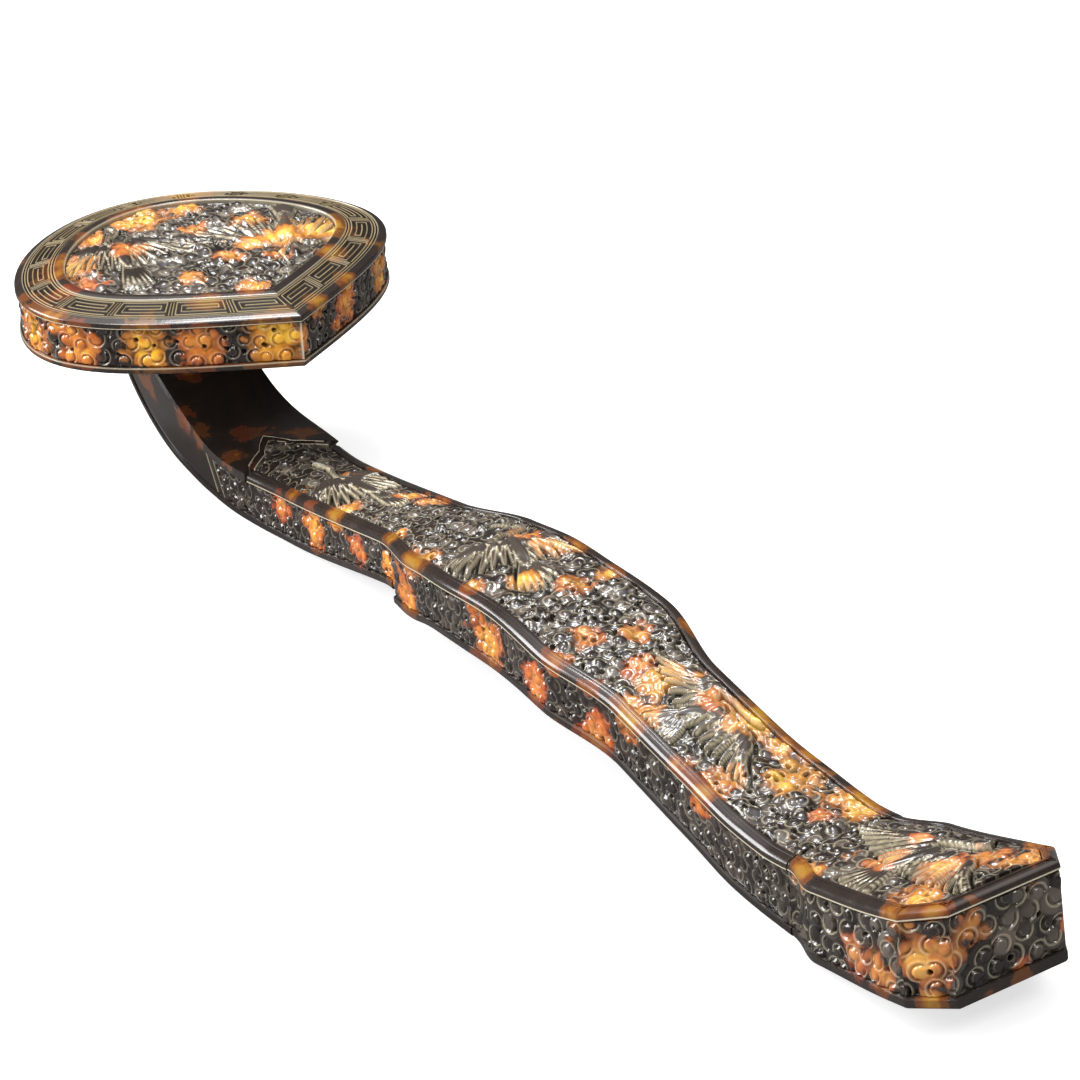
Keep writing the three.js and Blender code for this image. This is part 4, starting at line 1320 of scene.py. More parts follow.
@dataclass
class ShaftFaces:
    """The carved top faces and the plain bands that frame them."""

    sceptre: Sceptre
    workshop: Workshop
    carved: Dress
    plain: Dress
    spacing: float = 0.25
    columns: int = 112
    band_spacing: float = 0.8
    bracket_apex_x: float = -137.5
    bracket_shoulder: Flat = (-129.5, 5.0)
    bracket_end_x: float = -118.0
    bracket_end_half: float = 15.6
    bracket_strip: float = 4.4
    strip_rows: int = 25
    edge_fade: float = 0.05
    edge_level: float = -0.3
    upper_clouds: Clouds = Clouds(-1.7, (2.5, 3.2), (-0.15, 0.35), 11, 0.9)
    lower_clouds: Clouds = Clouds(-1.7, (2.5, 3.2), (-0.5, 0.0), 12, 0.9)
    masses: CarvedMasses = CarvedMasses()

    @property
    def reach_in(self) -> float:
        """How far the panels stop short of the full half width."""
        return self.sceptre.plating.border_width + self.sceptre.plating.glue_gap

    def bracket_x(self, y: Array) -> Array:
        """Station of the pointed bracket's edge at distances from the middle.

        Args:
            y: Distances from the middle.

        Returns:
            Stations of the edge.
        """
        t = np.linspace(0, 1, 40)[:, None]
        sx, sy = self.bracket_shoulder
        inner = np.array([(self.bracket_apex_x, 0), (sx - 3, sy * 0.8), (sx, sy)])
        outer = np.array([(sx, sy), (sx + 3, sy * 1.7), (self.bracket_end_x, self.bracket_end_half)])
        edge = np.vstack([
            (1 - t) ** 2 * p[0] + 2 * t * (1 - t) * p[1] + t ** 2 * p[2] for p in (inner, outer)
        ])
        return np.interp(np.abs(y), edge[:, 1], edge[:, 0])

    def run_of_bracket(self, share: Array, reach_in: float, shift: float) -> Array:
        """Run along the upper ribs of the bracket's edge, for shares of the width.

        Args:
            share: Places across, -1 to 1.
            reach_in: How far the plate stops short of the full half width.
            shift: How far the edge is moved along the shaft.

        Returns:
            Runs, one for each share.
        """
        path = self.sceptre.upper
        tops = path.top[:, 0]
        return np.array([
            path.run_at(lambda run: tops - shift - self.bracket_x(s * (path.half - reach_in)))
            for s in share
        ])

    def build(self) -> None:
        """Builds the bracket strip, the carved panels and the borders of both lengths."""
        lines, plating = self.sceptre.lines, self.sceptre.plating
        upper, lower = self.sceptre.upper, self.sceptre.lower
        share = np.linspace(-1, 1, self.columns)
        shifts = (0.0, self.bracket_strip, self.bracket_strip + plating.glue_gap)
        first, second, third = (self.run_of_bracket(share, self.reach_in, shift) for shift in shifts)
        self.build_strip(Stretch(upper, share, first, second))
        bird = Crane(self.run_x(upper, -77), 1.0, 180, 52, 22, 0.75, 0.2, 0.1)
        stretch = Stretch(upper, share, third, np.full(self.columns, upper.length))
        chart = stretch.chart(self.reach(upper), self.upper_clouds.ground)
        self.build_panel("upper", stretch, chart, self.upper_clouds, [bird])
        stretch = Stretch(lower, share, np.zeros(self.columns), np.full(self.columns, lower.length))
        chart = stretch.chart(self.reach(lower), self.lower_clouds.ground)
        under = [
            Crane(self.run_x(lower, 6), plating.border_width, 176, 66, 23, 0.3),
            Crane(self.run_x(lower, 90.5), plating.border_width, 14, 45, 23, 0.3),
        ]
        middle = self.run_x(lower, (lines.seam_x + lines.notch_x) / 2)
        self.masses.raise_on(chart, middle, (lower.length / 2, float(lower.half.max())), under)
        birds = [
            Crane(self.run_x(lower, 8), 2.0, 165, 42, 40, 0.35, 0.3, 0.3),
            Crane(self.run_x(lower, 91), 0.0, 80, 27, 46, 0.4, 0.3, 0.3),
        ]
        self.build_panel("lower", stretch, chart, self.lower_clouds, birds)
        self.build_borders()

    @staticmethod
    def reach(path: RibPath) -> Flat:
        """Places across of the widest rib's two sides."""
        return -float(path.half.max()), float(path.half.max())

    @staticmethod
    def run_x(path: RibPath, x: float) -> float:
        """Run at which the top face reaches a station."""
        return path.run_at(lambda run: path.top[:, 0] - x)

    def build_strip(self, stretch: Stretch) -> None:
        """Builds the dark strip between the two pale lines of the bracket.

        Args:
            stretch: Where it lies.
        """
        path, share = stretch.path, stretch.share
        t = np.linspace(0, 1, self.strip_rows)[:, None]
        run = stretch.grid(self.strip_rows)
        y = share * (path.value("half", run) - self.reach_in)
        lips = np.maximum(bell(t, 0.1, 0.09), bell(t, 0.92, 0.07)) * np.ones_like(run)
        top = path.place(run, y, -0.3 * (1 - share ** 2) - 0.3 * lips + 0.12)
        floor = path.place(run, y, self.sceptre.plating.panel_thickness)
        wine = TortoiseshellFinish("wine_brown_shell", 0.2, 0.8, 0.95, dark=(58, 28, 22)).dress("plain_shell")
        mesh = ShellMesh().add_plate(top, floor, cream=lips)
        self.workshop.make(mesh, "bracket_band", wine, "bracket_strip")

    def build_panel(
        self, name: str, stretch: Stretch, chart: CarvedChart, clouds: Clouds, birds: Sequence[Crane],
    ) -> None:
        """Builds one carved panel of clouds and cranes.

        Args:
            name: Length that it covers.
            stretch: Where it lies.
            chart: Its chart, before it is carved.
            clouds: Its curls and holes.
            birds: Cranes cut in it.
        """
        plating, path, share = self.sceptre.plating, stretch.path, stretch.share
        chart.carve(clouds, birds)
        run = stretch.fine_grid(self.spacing)
        y = share * (path.value("half", run) - self.reach_in)
        cut = chart.sample(run, y)
        crown = plating.panel_recess - plating.panel_crown * (1 - share ** 2)
        height = faded(cut.pop("height"), 1 - np.abs(share), self.edge_fade, self.edge_level)
        top = path.place(run, y, crown - height)
        floor = path.place(run, y, plating.panel_thickness)
        node = f"{name}_carved_panel"
        mesh = ShellMesh().add_plate(top, floor, **cut)
        self.workshop.make(mesh, f"{name}_cranes_and_clouds", self.carved, node)

    def build_borders(self) -> None:
        """Builds the rounded bands along both edges of both lengths."""
        upper, lower = self.sceptre.upper, self.sceptre.lower
        start = self.run_x(upper, self.bracket_end_x + self.sceptre.plating.glue_gap)
        section, pale = band_section(self.sceptre.plating)
        for side in Side:
            for name, path, first in (("upper", upper, start), ("lower", lower, 0.0)):
                run = np.linspace(first, path.length, int((path.length - first) / self.band_spacing))[:, None]
                y = side.value * (path.value("half", run) - section[:, 0])
                rings = path.place(run, y, section[:, 1])
                node = f"{name}_border_{side.word}"
                mesh = ShellMesh().add_tube(rings, cream=pale)
                self.workshop.make(mesh, f"{name}_band_{side.word}", self.plain, node)


def band_section(plating: Plating) -> Tuple[Array, Array]:
    """Section of a border band, from its inner edge over the top to its lower edge.

    Args:
        plating: Sizes of the plates.

    Returns:
        Points as inset and drop, and how pale each is.
    """
    width, height = plating.border_width, plating.border_height
    turn = np.linspace(0, math.pi / 2, 9)
    bow = 2.1
    fall = 0.35
    shoulder = np.stack([bow * (1 - np.sin(turn)), fall + (bow - fall) * (1 - np.cos(turn))], axis=1)
    points = np.vstack([
        [[width, height], [width, 0.35], [width - 0.15, 0.1], [width - 0.5, 0.02], [width / 2 + 0.5, 0.16]],
        shoulder,
        [[0.0, height - 0.75], [-0.02, height - 0.55], [0.0, height - 0.35]],
        [[0.25, height - 0.3], [0.3, height]],
    ])
    pale = np.zeros(len(points))
    pale[[-4, -3]] = 1.0
    return points, pale


@dataclass
class ShaftSides:
    """The carved side walls, the slanted strips, the neck's plain sides and the back plates."""

    sceptre: Sceptre
    workshop: Workshop
    carved: Dress
    plain: Dress
    spacing: float = 0.28
    columns: int = 44
    plain_rows: int = 160
    plain_swell: float = 0.25
    plain_gap: float = 0.2
    strip_rows: int = 31
    strip_top_x: float = -145.0
    strip_slant: float = 7.0
    strip_width: float = 5.2
    back_spacing: float = 0.9
    clouds: Clouds = Clouds(
        -1.1, (2.5, 3.2), (-0.1, 0.35), 0, 0.3, hole_depth=0.6, dome_fall=0.3, groove=0.15, edge_width=0.2,
    )

    def slant_x(self, z: Array) -> Array:
        """Station of the first slanted line at heights on the side."""
        above = 2 * self.strip_slant
        return self.strip_top_x + np.clip(above - z, 0, None) / 2

    def run_of_slant(self, share: Array, shift: float) -> Array:
        """Run of a slanted line for shares of the wall's depth.

        Args:
            share: Places down the wall, 0 to 1.
            shift: How far the line is moved along the shaft.

        Returns:
            Runs, one for each share.
        """
        path = self.sceptre.upper
        runs = []
        for part in share:
            point = path.place(path.run, 0.0, self.wall_drop(path, path.run, part))
            runs.append(path.run_at(lambda run: point[:, 0] - shift - self.slant_x(point[:, 2])))
        return np.array(runs)

    def wall_drop(self, path: RibPath, run: Array, share: Array) -> Array:
        """Drop below the top face at shares of the wall's depth.

        Args:
            path: Ribs of the length.
            run: Runs along it.
            share: Places down the wall, 0 to 1.

        Returns:
            Drops along the ribs.
        """
        plating = self.sceptre.plating
        high = plating.border_height + plating.glue_gap
        low = path.value("depth", run) - plating.back_thickness - plating.glue_gap
        return high + (low - high) * share

    def build(self) -> None:
        """Builds both sides and the backs of the neck and shaft."""
        sceptre = self.sceptre
        for side in Side:
            self.build_side(side)
        self.build_back("neck", sceptre.upper, 0.0, sceptre.neck_end)
        self.build_back("upper", sceptre.upper, sceptre.neck_end + self.plain_gap, sceptre.upper.length)
        self.build_back("lower", sceptre.lower, 0.0, sceptre.lower.length)

    def build_side(self, side: Side) -> None:
        """Builds the walls of one side, from the head to the notch.

        Args:
            side: Which side.
        """
        upper, lower = self.sceptre.upper, self.sceptre.lower
        share = np.linspace(0, 1, self.columns)
        nought = np.zeros(self.columns)
        shifts = (0.0, self.strip_width, self.strip_width + self.sceptre.plating.glue_gap)
        first, second, third = (self.run_of_slant(share, shift) for shift in shifts)
        stretch = Stretch(upper, share, nought, first - self.plain_gap)
        run = stretch.grid(self.plain_rows)
        swell = self.plain_swell * np.sin(math.pi * share) ** 0.5 * np.ones_like(run)
        self.wall("neck_side", "neck_wall", self.plain, side, stretch, run, swell)
        stretch = Stretch(upper, share, first, second)
        run = stretch.grid(self.strip_rows)
        t = np.linspace(0, 1, self.strip_rows)[:, None]
        lips = np.maximum(bell(t, 0.05, 0.04), bell(t, 0.95, 0.04)) * np.ones_like(run)
        proud = 0.35 * lips - 0.1
        self.wall("slanted_strip", "side_strip", self.plain, side, stretch, run, proud, cream=lips)
        seed = 20 if side is Side.LEFT else 30
        for name, path, start, step in (("upper", upper, third, 0), ("lower", lower, nought, 1)):
            stretch = Stretch(path, share, start, np.full(self.columns, path.length))
            chart = stretch.chart((0, float(path.depth.max())), self.clouds.ground)
            chart.carve(replace(self.clouds, seed=seed + step))
            run = stretch.fine_grid(self.spacing)
            cut = chart.sample(run, self.wall_drop(path, run, share))
            height = cut.pop("height")
            self.wall(f"{name}_clouds", f"{name}_wall", self.carved, side, stretch, run, height, **cut)

    def wall(
        self, name: str, node: str, dress: Dress, side: Side, stretch: Stretch, run: Array, proud: Array,
        **values: Array,
    ) -> None:
        """Makes a wall plate.

        Args:
            name: Its name, without its side.
            node: Plate that it stands for, without its side.
            dress: Its finish.
            side: Which side.
            stretch: Where it lies.
            run: Runs of its grid.
            proud: How far its outer face stands out.
            values: Painted values by name.
        """
        plating, path = self.sceptre.plating, stretch.path
        drop = self.wall_drop(path, run, stretch.share)
        half = path.value("half", run) - plating.wall_reveal
        top, floor = (
            path.place(run, side.value * (half + out), drop) for out in (proud, -plating.wall_thickness)
        )
        mesh = ShellMesh().add_plate(top, floor, **values)
        self.workshop.make(mesh, f"{name}_{side.word}", dress, f"{node}_{side.word}")

    def build_back(self, name: str, path: RibPath, start: float, end: float) -> None:
        """Builds a back plate with rolled edges.

        Args:
            name: Length that it covers.
            path: Its ribs.
            start: Run of its first end.
            end: Run of its last end.
        """
        run = np.linspace(start, end, max(int((end - start) / self.back_spacing), 8))
        mesh = ShellMesh().add_tube(back_rings(self.sceptre.plating, path, run))
        self.workshop.make(mesh, f"{name}_back", self.plain, f"{name}_back_plate")


def back_rings(plating: Plating, path: RibPath, run: Array) -> Array:
    """Rings of a back plate with rolled edges.

    Args:
        plating: Sizes of the plates.
        path: Ribs of the length.
        run: Run of each ring.

    Returns:
        Points by ring and point.
    """
    half, depth = (path.value(name, run)[:, None] for name in ("half", "depth"))
    roll, thick = plating.back_roll, plating.back_thickness
    turn = np.linspace(0, math.pi / 2, 6)
    inset = np.concatenate([-roll * (1 - np.sin(turn)), [0.0, -roll]])
    lift = np.concatenate([roll * (1 - np.cos(turn)), [thick - roll / 2, thick]])
    y = np.concatenate([half + inset, -(half + inset[::-1])], axis=1)
    return path.place(run[:, None], y, depth - np.concatenate([lift, lift[::-1]]))


@dataclass
class NeckFace:
    """The plain polished face of the neck, down to the pointed bracket."""

    faces: ShaftFaces
    rows: int = 170
    bevel: float = 1.0
    crown: float = 0.35
    usual_half: float = 15.0

    def build(self) -> None:
        """Builds the face plate with rounded edges."""
        sceptre = self.faces.sceptre
        path, plating = sceptre.upper, sceptre.plating
        turn = np.linspace(0, math.pi / 2, 7)[1:]
        edge_in = self.bevel * (1 - np.sin(turn))[::-1]
        edge_drop = self.bevel * (1 - np.cos(turn))[::-1]
        low = plating.border_height
        left = [(-1, plating.border_width, low), (-1, 0.2, low), (-1, 0.0, low - 0.2)]
        left += [(-1, inset, drop) for inset, drop in zip(edge_in[::-1], edge_drop)]
        right = [(-share, inset, drop) for share, inset, drop in left[::-1]]
        middle = [(share, self.bevel * abs(share), 0.0) for share in np.linspace(-1, 1, 41)]
        share, inset, drop = np.array(left + middle + right, float).T
        across = share - np.sign(share) * inset / self.usual_half
        end = self.faces.run_of_bracket(across, 0.0, -plating.glue_gap)
        run = end * np.linspace(0, 1, self.rows)[:, None]
        half = path.value("half", run)
        y = share * half - np.sign(share) * inset
        crown = self.crown * np.clip(1 - (y / half) ** 2, 0, 1) * (drop == 0.0)
        rings = path.place(run, y, drop - crown)
        mesh = ShellMesh().add_tube(rings)
        self.faces.workshop.make(mesh, "neck_face", self.faces.plain, "neck_face_plate")


@dataclass
class Head:
    """The peach-shaped head: moulded rim, key-fret band, carved panel and carved walls."""

    workshop: Workshop
    carved: Dress
    plain: Dress
    fretted: Dress
    walls: Dress
    length: float = 106.5
    half_width: float = 54.0
    widest: float = 54.0
    thickness: float = 14.6
    tip: Solid = (-97.9, 0.0, 64.0)
    tilt: float = math.radians(2.7)
    roll: float = math.radians(-2.2)
    turn: float = math.radians(3.5)
    tip_reach: float = 18.0
    tip_rise: float = 31.0
    shoulder_reach: float = 23.0
    back_reach: float = 23.0
    back_rise: float = 29.0
    rim_width: float = 2.5
    rim_height: float = 1.7
    rim_rise: float = 0.9
    fret_width: float = 8.0
    fret_slope: float = 1.6
    inner_band: float = 3.2
    band_slope: float = 0.4
    panel_crown: float = 1.3
    panel_recess: float = 1.0
    floor: float = -1.2
    wall_thickness: float = 2.0
    wall_reveal: float = 0.4
    back_thickness: float = 1.8
    glue_gap: float = 0.25
    clearance: float = 0.05
    ring_count: int = 1440
    fret_cell: float = 0.07
    fret_columns: int = 54
    fret_line: float = 0.25
    fret_edge: float = 0.35
    fret_margin: float = 1.15
    fret_bar_gap: float = 0.85
    fret_rise: float = 0.0
    fret_ground: float = -0.3
    fret_units: int = 18
    panel_columns: int = 250
    wall_rows: int = 36
    masses: CarvedMasses = CarvedMasses()
    panel_clouds: Clouds = Clouds(-1.5, (2.7, 3.7), (-0.45, 0.1), 3, 0.6)
    wall_clouds: Clouds = Clouds(
        -1.35, (3.0, 4.2), (-0.45, 0.0), 5, 0.5, dome_fall=0.22, groove=0.2, edge_width=0.32,
    )

    def __post_init__(self) -> None:
        """Works out the insets of the bands and the head's stance."""
        self.fret_inset = self.rim_width + self.glue_gap
        self.band_inset = self.fret_inset + self.fret_width + self.glue_gap
        self.panel_inset = self.band_inset + self.inner_band + self.glue_gap
        self.fret_top = self.rim_rise + self.fret_slope
        self.band_top = self.fret_top + self.band_slope
        self.panel_edge = self.band_top - self.panel_recess
        self.back_top = -self.thickness + self.back_thickness
        turns = ((self.tilt, "Y"), (self.roll, "X"), (self.turn, "Z"))
        tilt, roll, turn = (Matrix.Rotation(angle, 3, axis) for angle, axis in turns)
        self.stance = np.array(tilt @ roll @ turn)

    def place(self, local: Array) -> Array:
        """Points of the head's own frame, tip at its origin, in the carver's frame."""
        return local @ self.stance.T + np.array(self.tip)

    def half_outline(self, inset: float) -> Array:
        """Outline of one lobe drawn in by an inset, from the tip to the back.

        Args:
            inset: How far it is drawn in.

        Returns:
            Rows of x and y.
        """
        inset = inset + self.clearance
        t = np.linspace(0, 1, 400)[:, None]
        wide, half, long = self.widest, self.half_width, self.length
        front = [(0, 0), (-self.tip_reach, self.tip_rise)]
        front += [(-(wide - self.shoulder_reach), half), (-wide, half)]
        back = [(-wide, half), (-(wide + self.back_reach), half), (-long, self.back_rise), (-long, 0)]
        curves = []
        for a, b, c, d in (np.array(front, float), np.array(back, float)):
            curves.append((1 - t) ** 3 * a + 3 * t * (1 - t) ** 2 * b + 3 * t ** 2 * (1 - t) * c + t ** 3 * d)
        line = np.vstack([curves[0], curves[1][1:]])
        slope = np.gradient(line, axis=0)
        slope /= np.linalg.norm(slope, axis=1)[:, None]
        drawn = line + inset * np.stack([-slope[:, 1], slope[:, 0]], axis=1)
        tip_x = -inset / math.sin(math.atan2(self.tip_rise, self.tip_reach))
        keep = (drawn[:, 1] > 0) & (drawn[:, 0] < tip_x)
        return np.vstack([[tip_x, 0], drawn[keep], [-self.length + inset, 0]])

    def ring(self, inset: float) -> Array:
        """Whole outline drawn in by an inset, evenly spaced, starting at the tip.

        Args:
            inset: How far it is drawn in.

        Returns:
            Rows of x and y.
        """
        line = self.half_outline(inset)
        run = runs_along(line)
        even = np.linspace(0, run[-1], self.ring_count // 2 + 1)
        half = np.stack([np.interp(even, run, line[:, k]) for k in (0, 1)], axis=1)
        return np.vstack([half, half[1:-1][::-1] * np.array([1, -1])])

    def bent_rings(self, insets: Array, heights: Array) -> Array:
        """Points over the whole outline at insets and heights.

        Args:
            insets: Insets by point of the section.
            heights: Heights by ring and point, or by point.

        Returns:
            Points by ring and point, in the carver's frame.
        """
        lines = np.stack([self.ring(float(inset)) for inset in insets], axis=1)
        heights = np.broadcast_to(heights, lines.shape[:2])
        return self.place(np.concatenate([lines, heights[..., None]], axis=2))

    def moulding(self, name: str, section: Sequence[Flat], pale: Sequence[float], node: str) -> None:
        """Builds a moulding that follows the whole outline.

        Args:
            name: Its name.
            section: Points as inset and height.
            pale: Paleness of each.
            node: Plate that it stands for.
        """
        points = np.array(section, float)
        rings = self.bent_rings(points[:, 0], points[:, 1])[::2]
        mesh = ShellMesh().add_tube(rings, True, cream=np.array(pale, float))
        self.workshop.make(mesh, name, self.plain, node)

    def build(self) -> None:
        """Builds the whole head."""
        self.build_rim()
        self.build_fret()
        self.build_panel()
        self.build_walls()
        self.build_back()

    def build_rim(self) -> None:
        """Builds the rounded rim and the sloping band inside the fret."""
        low, wide, rise = -self.rim_height, self.rim_width, self.rim_rise
        section = [(0.25, low), (0.2, low + 0.15), (0.0, low + 0.22), (-0.02, low + 0.34), (0.0, low + 0.46)]
        section += [(0.0, -0.55), (0.03, -0.38), (0.12, -0.2), (0.28, -0.02), (0.5, 0.12), (0.9, 0.27)]
        section += [(1.5, 0.5), (wide - 0.4, rise - 0.16), (wide - 0.15, rise - 0.12), (wide, rise - 0.3)]
        section += [(wide, low)]
        pale = [0, 0.3, 1, 1, 0] + [0] * 8 + [0.5, 0.5, 0]
        self.moulding("head_rim", section, pale, "head_edge_moulding")
        start, end = self.band_inset, self.panel_inset - self.glue_gap
        fret, top = self.fret_top, self.band_top
        section = [(start, self.floor), (start, fret - 0.2), (start + 0.15, fret - 0.05)]
        section += [(start + 0.4, fret + 0.03), (start + 1.0, fret + 0.2), (start + 1.6, top - 0.05)]
        section += [(end - 0.7, top - 0.05), (end - 0.35, top - 0.12), (end - 0.1, top - 0.3)]
        section += [(end, top - 0.6), (end, self.floor)]
        pale = [0, 0.5, 0.4, 0, 0, 0, 0, 0.1, 0.7, 0.4, 0]
        self.moulding("head_sloping_band", section, pale, "head_inner_band")

    def build_fret(self) -> None:
        """Builds the key-fret band with its raised lines."""
        run = runs_along(self.ring(self.fret_inset + self.fret_width / 2), True)
        round_length = float(run[-1])
        chart = CarvedChart((-1, round_length + 1), (0, self.fret_width), self.fret_ground, self.fret_cell)
        self.draw_fret(chart, round_length)
        chart.soften()
        across = np.linspace(0, self.fret_width, self.fret_columns)
        grid_u = np.broadcast_to(run[:-1, None], (self.ring_count, self.fret_columns))
        cut = chart.sample(grid_u, np.broadcast_to(across, grid_u.shape))
        slope = self.rim_rise + self.fret_slope * across / self.fret_width
        height = cut.pop("height") + slope
        # Painted shade: the fret's ground between its raised lines is darkened, less than in the carving.
        cut["relief"] = 0.3 + 0.7 * cut["relief"]
        # No painted crest highlight on the fret.
        cut["crest_highlight"] = cut["crest_highlight"] * 0
        insets = self.fret_inset + np.concatenate([across, [self.fret_width, 0]])
        floor = np.full((self.ring_count, 2), self.floor)
        rings = self.bent_rings(insets, np.concatenate([height, floor], axis=1))
        for key, rows in cut.items():
            under = np.full((self.ring_count, 2), 1.0 if key == "relief" else 0.0)
            cut[key] = np.concatenate([rows, under], axis=1)
        mesh = ShellMesh().add_tube(rings, True, **cut)
        self.workshop.make(mesh, "head_key_fret", self.fretted, "head_fret_border")

    def draw_fret(self, chart: CarvedChart, round_length: float) -> None:
        """Draws the key-fret: a squared spiral in each unit, short bars between, a line at each edge.

        Args:
            chart: Chart of the band, along its middle and across it.
            round_length: Length of the band's middle line.
        """
        width, line, rise, gap = self.fret_width, self.fret_line, self.fret_rise, self.fret_bar_gap
        for edge in (self.fret_edge, width - self.fret_edge):
            chart.raised_line([(-1, edge), (round_length + 1, edge)], line, rise)
        low, high = self.fret_margin, width - self.fret_margin
        step = (high - low) / 4
        unit = round_length / self.fret_units
        a, b = gap, unit - 2.2 * gap
        spiral = [
            (a, low), (b, low), (b, high), (a, high), (a, low + step), (b - step, low + step),
            (b - step, high - step), (a + step, high - step), (a + step, low + 2 * step),
            (b - 2 * step, low + 2 * step),
        ]
        bars = [[(b + k * gap, low), (b + k * gap, high)] for k in (1, 2)]
        for i in range(self.fret_units):
            hand = 1 if i < self.fret_units // 2 else -1
            start = i * unit if hand == 1 else (i + 1) * unit
            for path in (spiral, *bars):
                chart.raised_line([(start + hand * along, across) for along, across in path], line, rise)

    def build_panel(self) -> None:
        """Builds the panel of cranes among clouds."""
        line = self.half_outline(self.panel_inset)
        line = line[np.argsort(line[:, 0])]
        low_x, high_x, wide = line[0, 0], line[-1, 0], self.widest
        clouds, count = self.panel_clouds, self.panel_columns
        chart = CarvedChart((low_x - 2, high_x + 2), (-self.half_width, self.half_width), clouds.ground)
        reach = self.half_width - self.panel_inset
        cranes = [
            Crane(-wide - reach / 4, -reach / 2, 165, 48, 33, -0.2, 0.1, 0.14, 1.1),
            Crane(-wide, reach * 2 / 3, -28, 46, 33, -0.2, 0.5, 0.12, 1.1),
        ]
        self.masses.raise_on(chart, -wide, (reach, reach), cranes)
        chart.carve(clouds, cranes)
        x = (high_x + low_x) / 2 - np.cos(np.linspace(0.0, math.pi, count)) * (high_x - low_x) / 2
        x[[0, -1]] = (low_x + 0.05, high_x - 0.05)
        half = np.maximum(np.interp(x, line[:, 0], line[:, 1]), 0.05)[:, None]
        y = np.linspace(-1, 1, count) * half
        x = np.broadcast_to(x[:, None], y.shape)
        cut = chart.sample(x, y)
        far = np.abs(x + wide) / np.where(x > -wide, high_x + wide, -wide - low_x)
        away = np.clip(np.hypot(far, y / line[:, 1].max()), 0, 1)
        crown = self.panel_edge + self.panel_crown * (1 - away ** 2)
        edge = np.minimum(half - np.abs(y), np.minimum(x - low_x, high_x - x) * 1.2)
        height = faded(cut.pop("height"), edge, 0.7, -0.4)
        top, floor = (
            self.place(np.stack([x, y, np.broadcast_to(z, y.shape)], axis=-1))
            for z in (crown + height, self.floor)
        )
        mesh = ShellMesh().add_plate(top, floor, **cut)
        self.workshop.make(mesh, "head_cranes_and_clouds", self.carved, "head_carved_panel")

    def build_walls(self) -> None:
        """Builds the four carved wall plates."""
        outer, inner = self.ring(self.wall_reveal), self.ring(self.wall_reveal + self.wall_thickness)
        run = runs_along(outer, True)
        high, low = -self.rim_height - self.glue_gap, self.back_top + self.glue_gap
        chart = CarvedChart((-1, float(run[-1]) + 1), (0, high - low), self.wall_clouds.ground)
        chart.carve(self.wall_clouds)
        down = np.linspace(0, high - low, self.wall_rows)
        whole, middle = self.ring_count, self.ring_count // 2
        lobe = int(np.argmin(np.abs(outer[:middle, 0] + self.widest)))
        quarters = {
            "front_right": (0, lobe), "back_right": (lobe, middle),
            "back_left": (middle, whole - lobe), "front_left": (whole - lobe, whole),
        }
        for name, (first, last) in quarters.items():
            index = np.arange(first, last + 1)
            grid_u = np.broadcast_to(run[index][:, None], (len(index), len(down)))
            cut = chart.sample(grid_u, np.broadcast_to(down, grid_u.shape))
            since, left = grid_u - run[first], run[last] - grid_u
            height = faded(cut.pop("height"), np.minimum(since, left), 0.8, 0.1)
            if name.startswith("front"):
                tip_side = since if name.endswith("right") else left
                cut["cream"] = np.maximum(cut["cream"], 1 - smoothstep(tip_side, 0.2, 0.5))
            out, back = outer[index % whole][:, None, :], inner[index % whole][:, None, :]
            z = np.broadcast_to(high - down, grid_u.shape)[..., None]
            top, floor = (
                self.place(np.concatenate([np.broadcast_to(flat, (*grid_u.shape, 2)), z], axis=2))
                for flat in (out - (back - out) / self.wall_thickness * height[..., None], back)
            )
            mesh = ShellMesh().add_plate(top, floor, **cut)
            self.workshop.make(mesh, f"head_clouds_{name}", self.walls, f"head_wall_{name}")

    def build_back(self) -> None:
        """Builds the plain back plate with its rolled lip."""
        floor, top = -self.thickness, self.back_top
        section = [(1.0, floor), (0.45, floor + 0.08), (0.15, floor + 0.3), (0.0, floor + 0.65)]
        section += [(0.0, top - 0.45), (0.12, top - 0.15), (0.45, top)]
        lines = np.array(section)
        rings = self.bent_rings(lines[:, 0], lines[:, 1])[::2]
        mesh = ShellMesh()
        index = mesh.add_points(rings, cream=np.array([0, 0, 0, 0, 0, 0.6, 0]))
        mesh.add_grid(np.concatenate([index, index[:1]], axis=0))
        mesh.add_face(index[:, 0][::-1])
        mesh.add_face(index[:, -1])
        self.workshop.make(mesh, "head_back", self.plain, "head_back_plate")


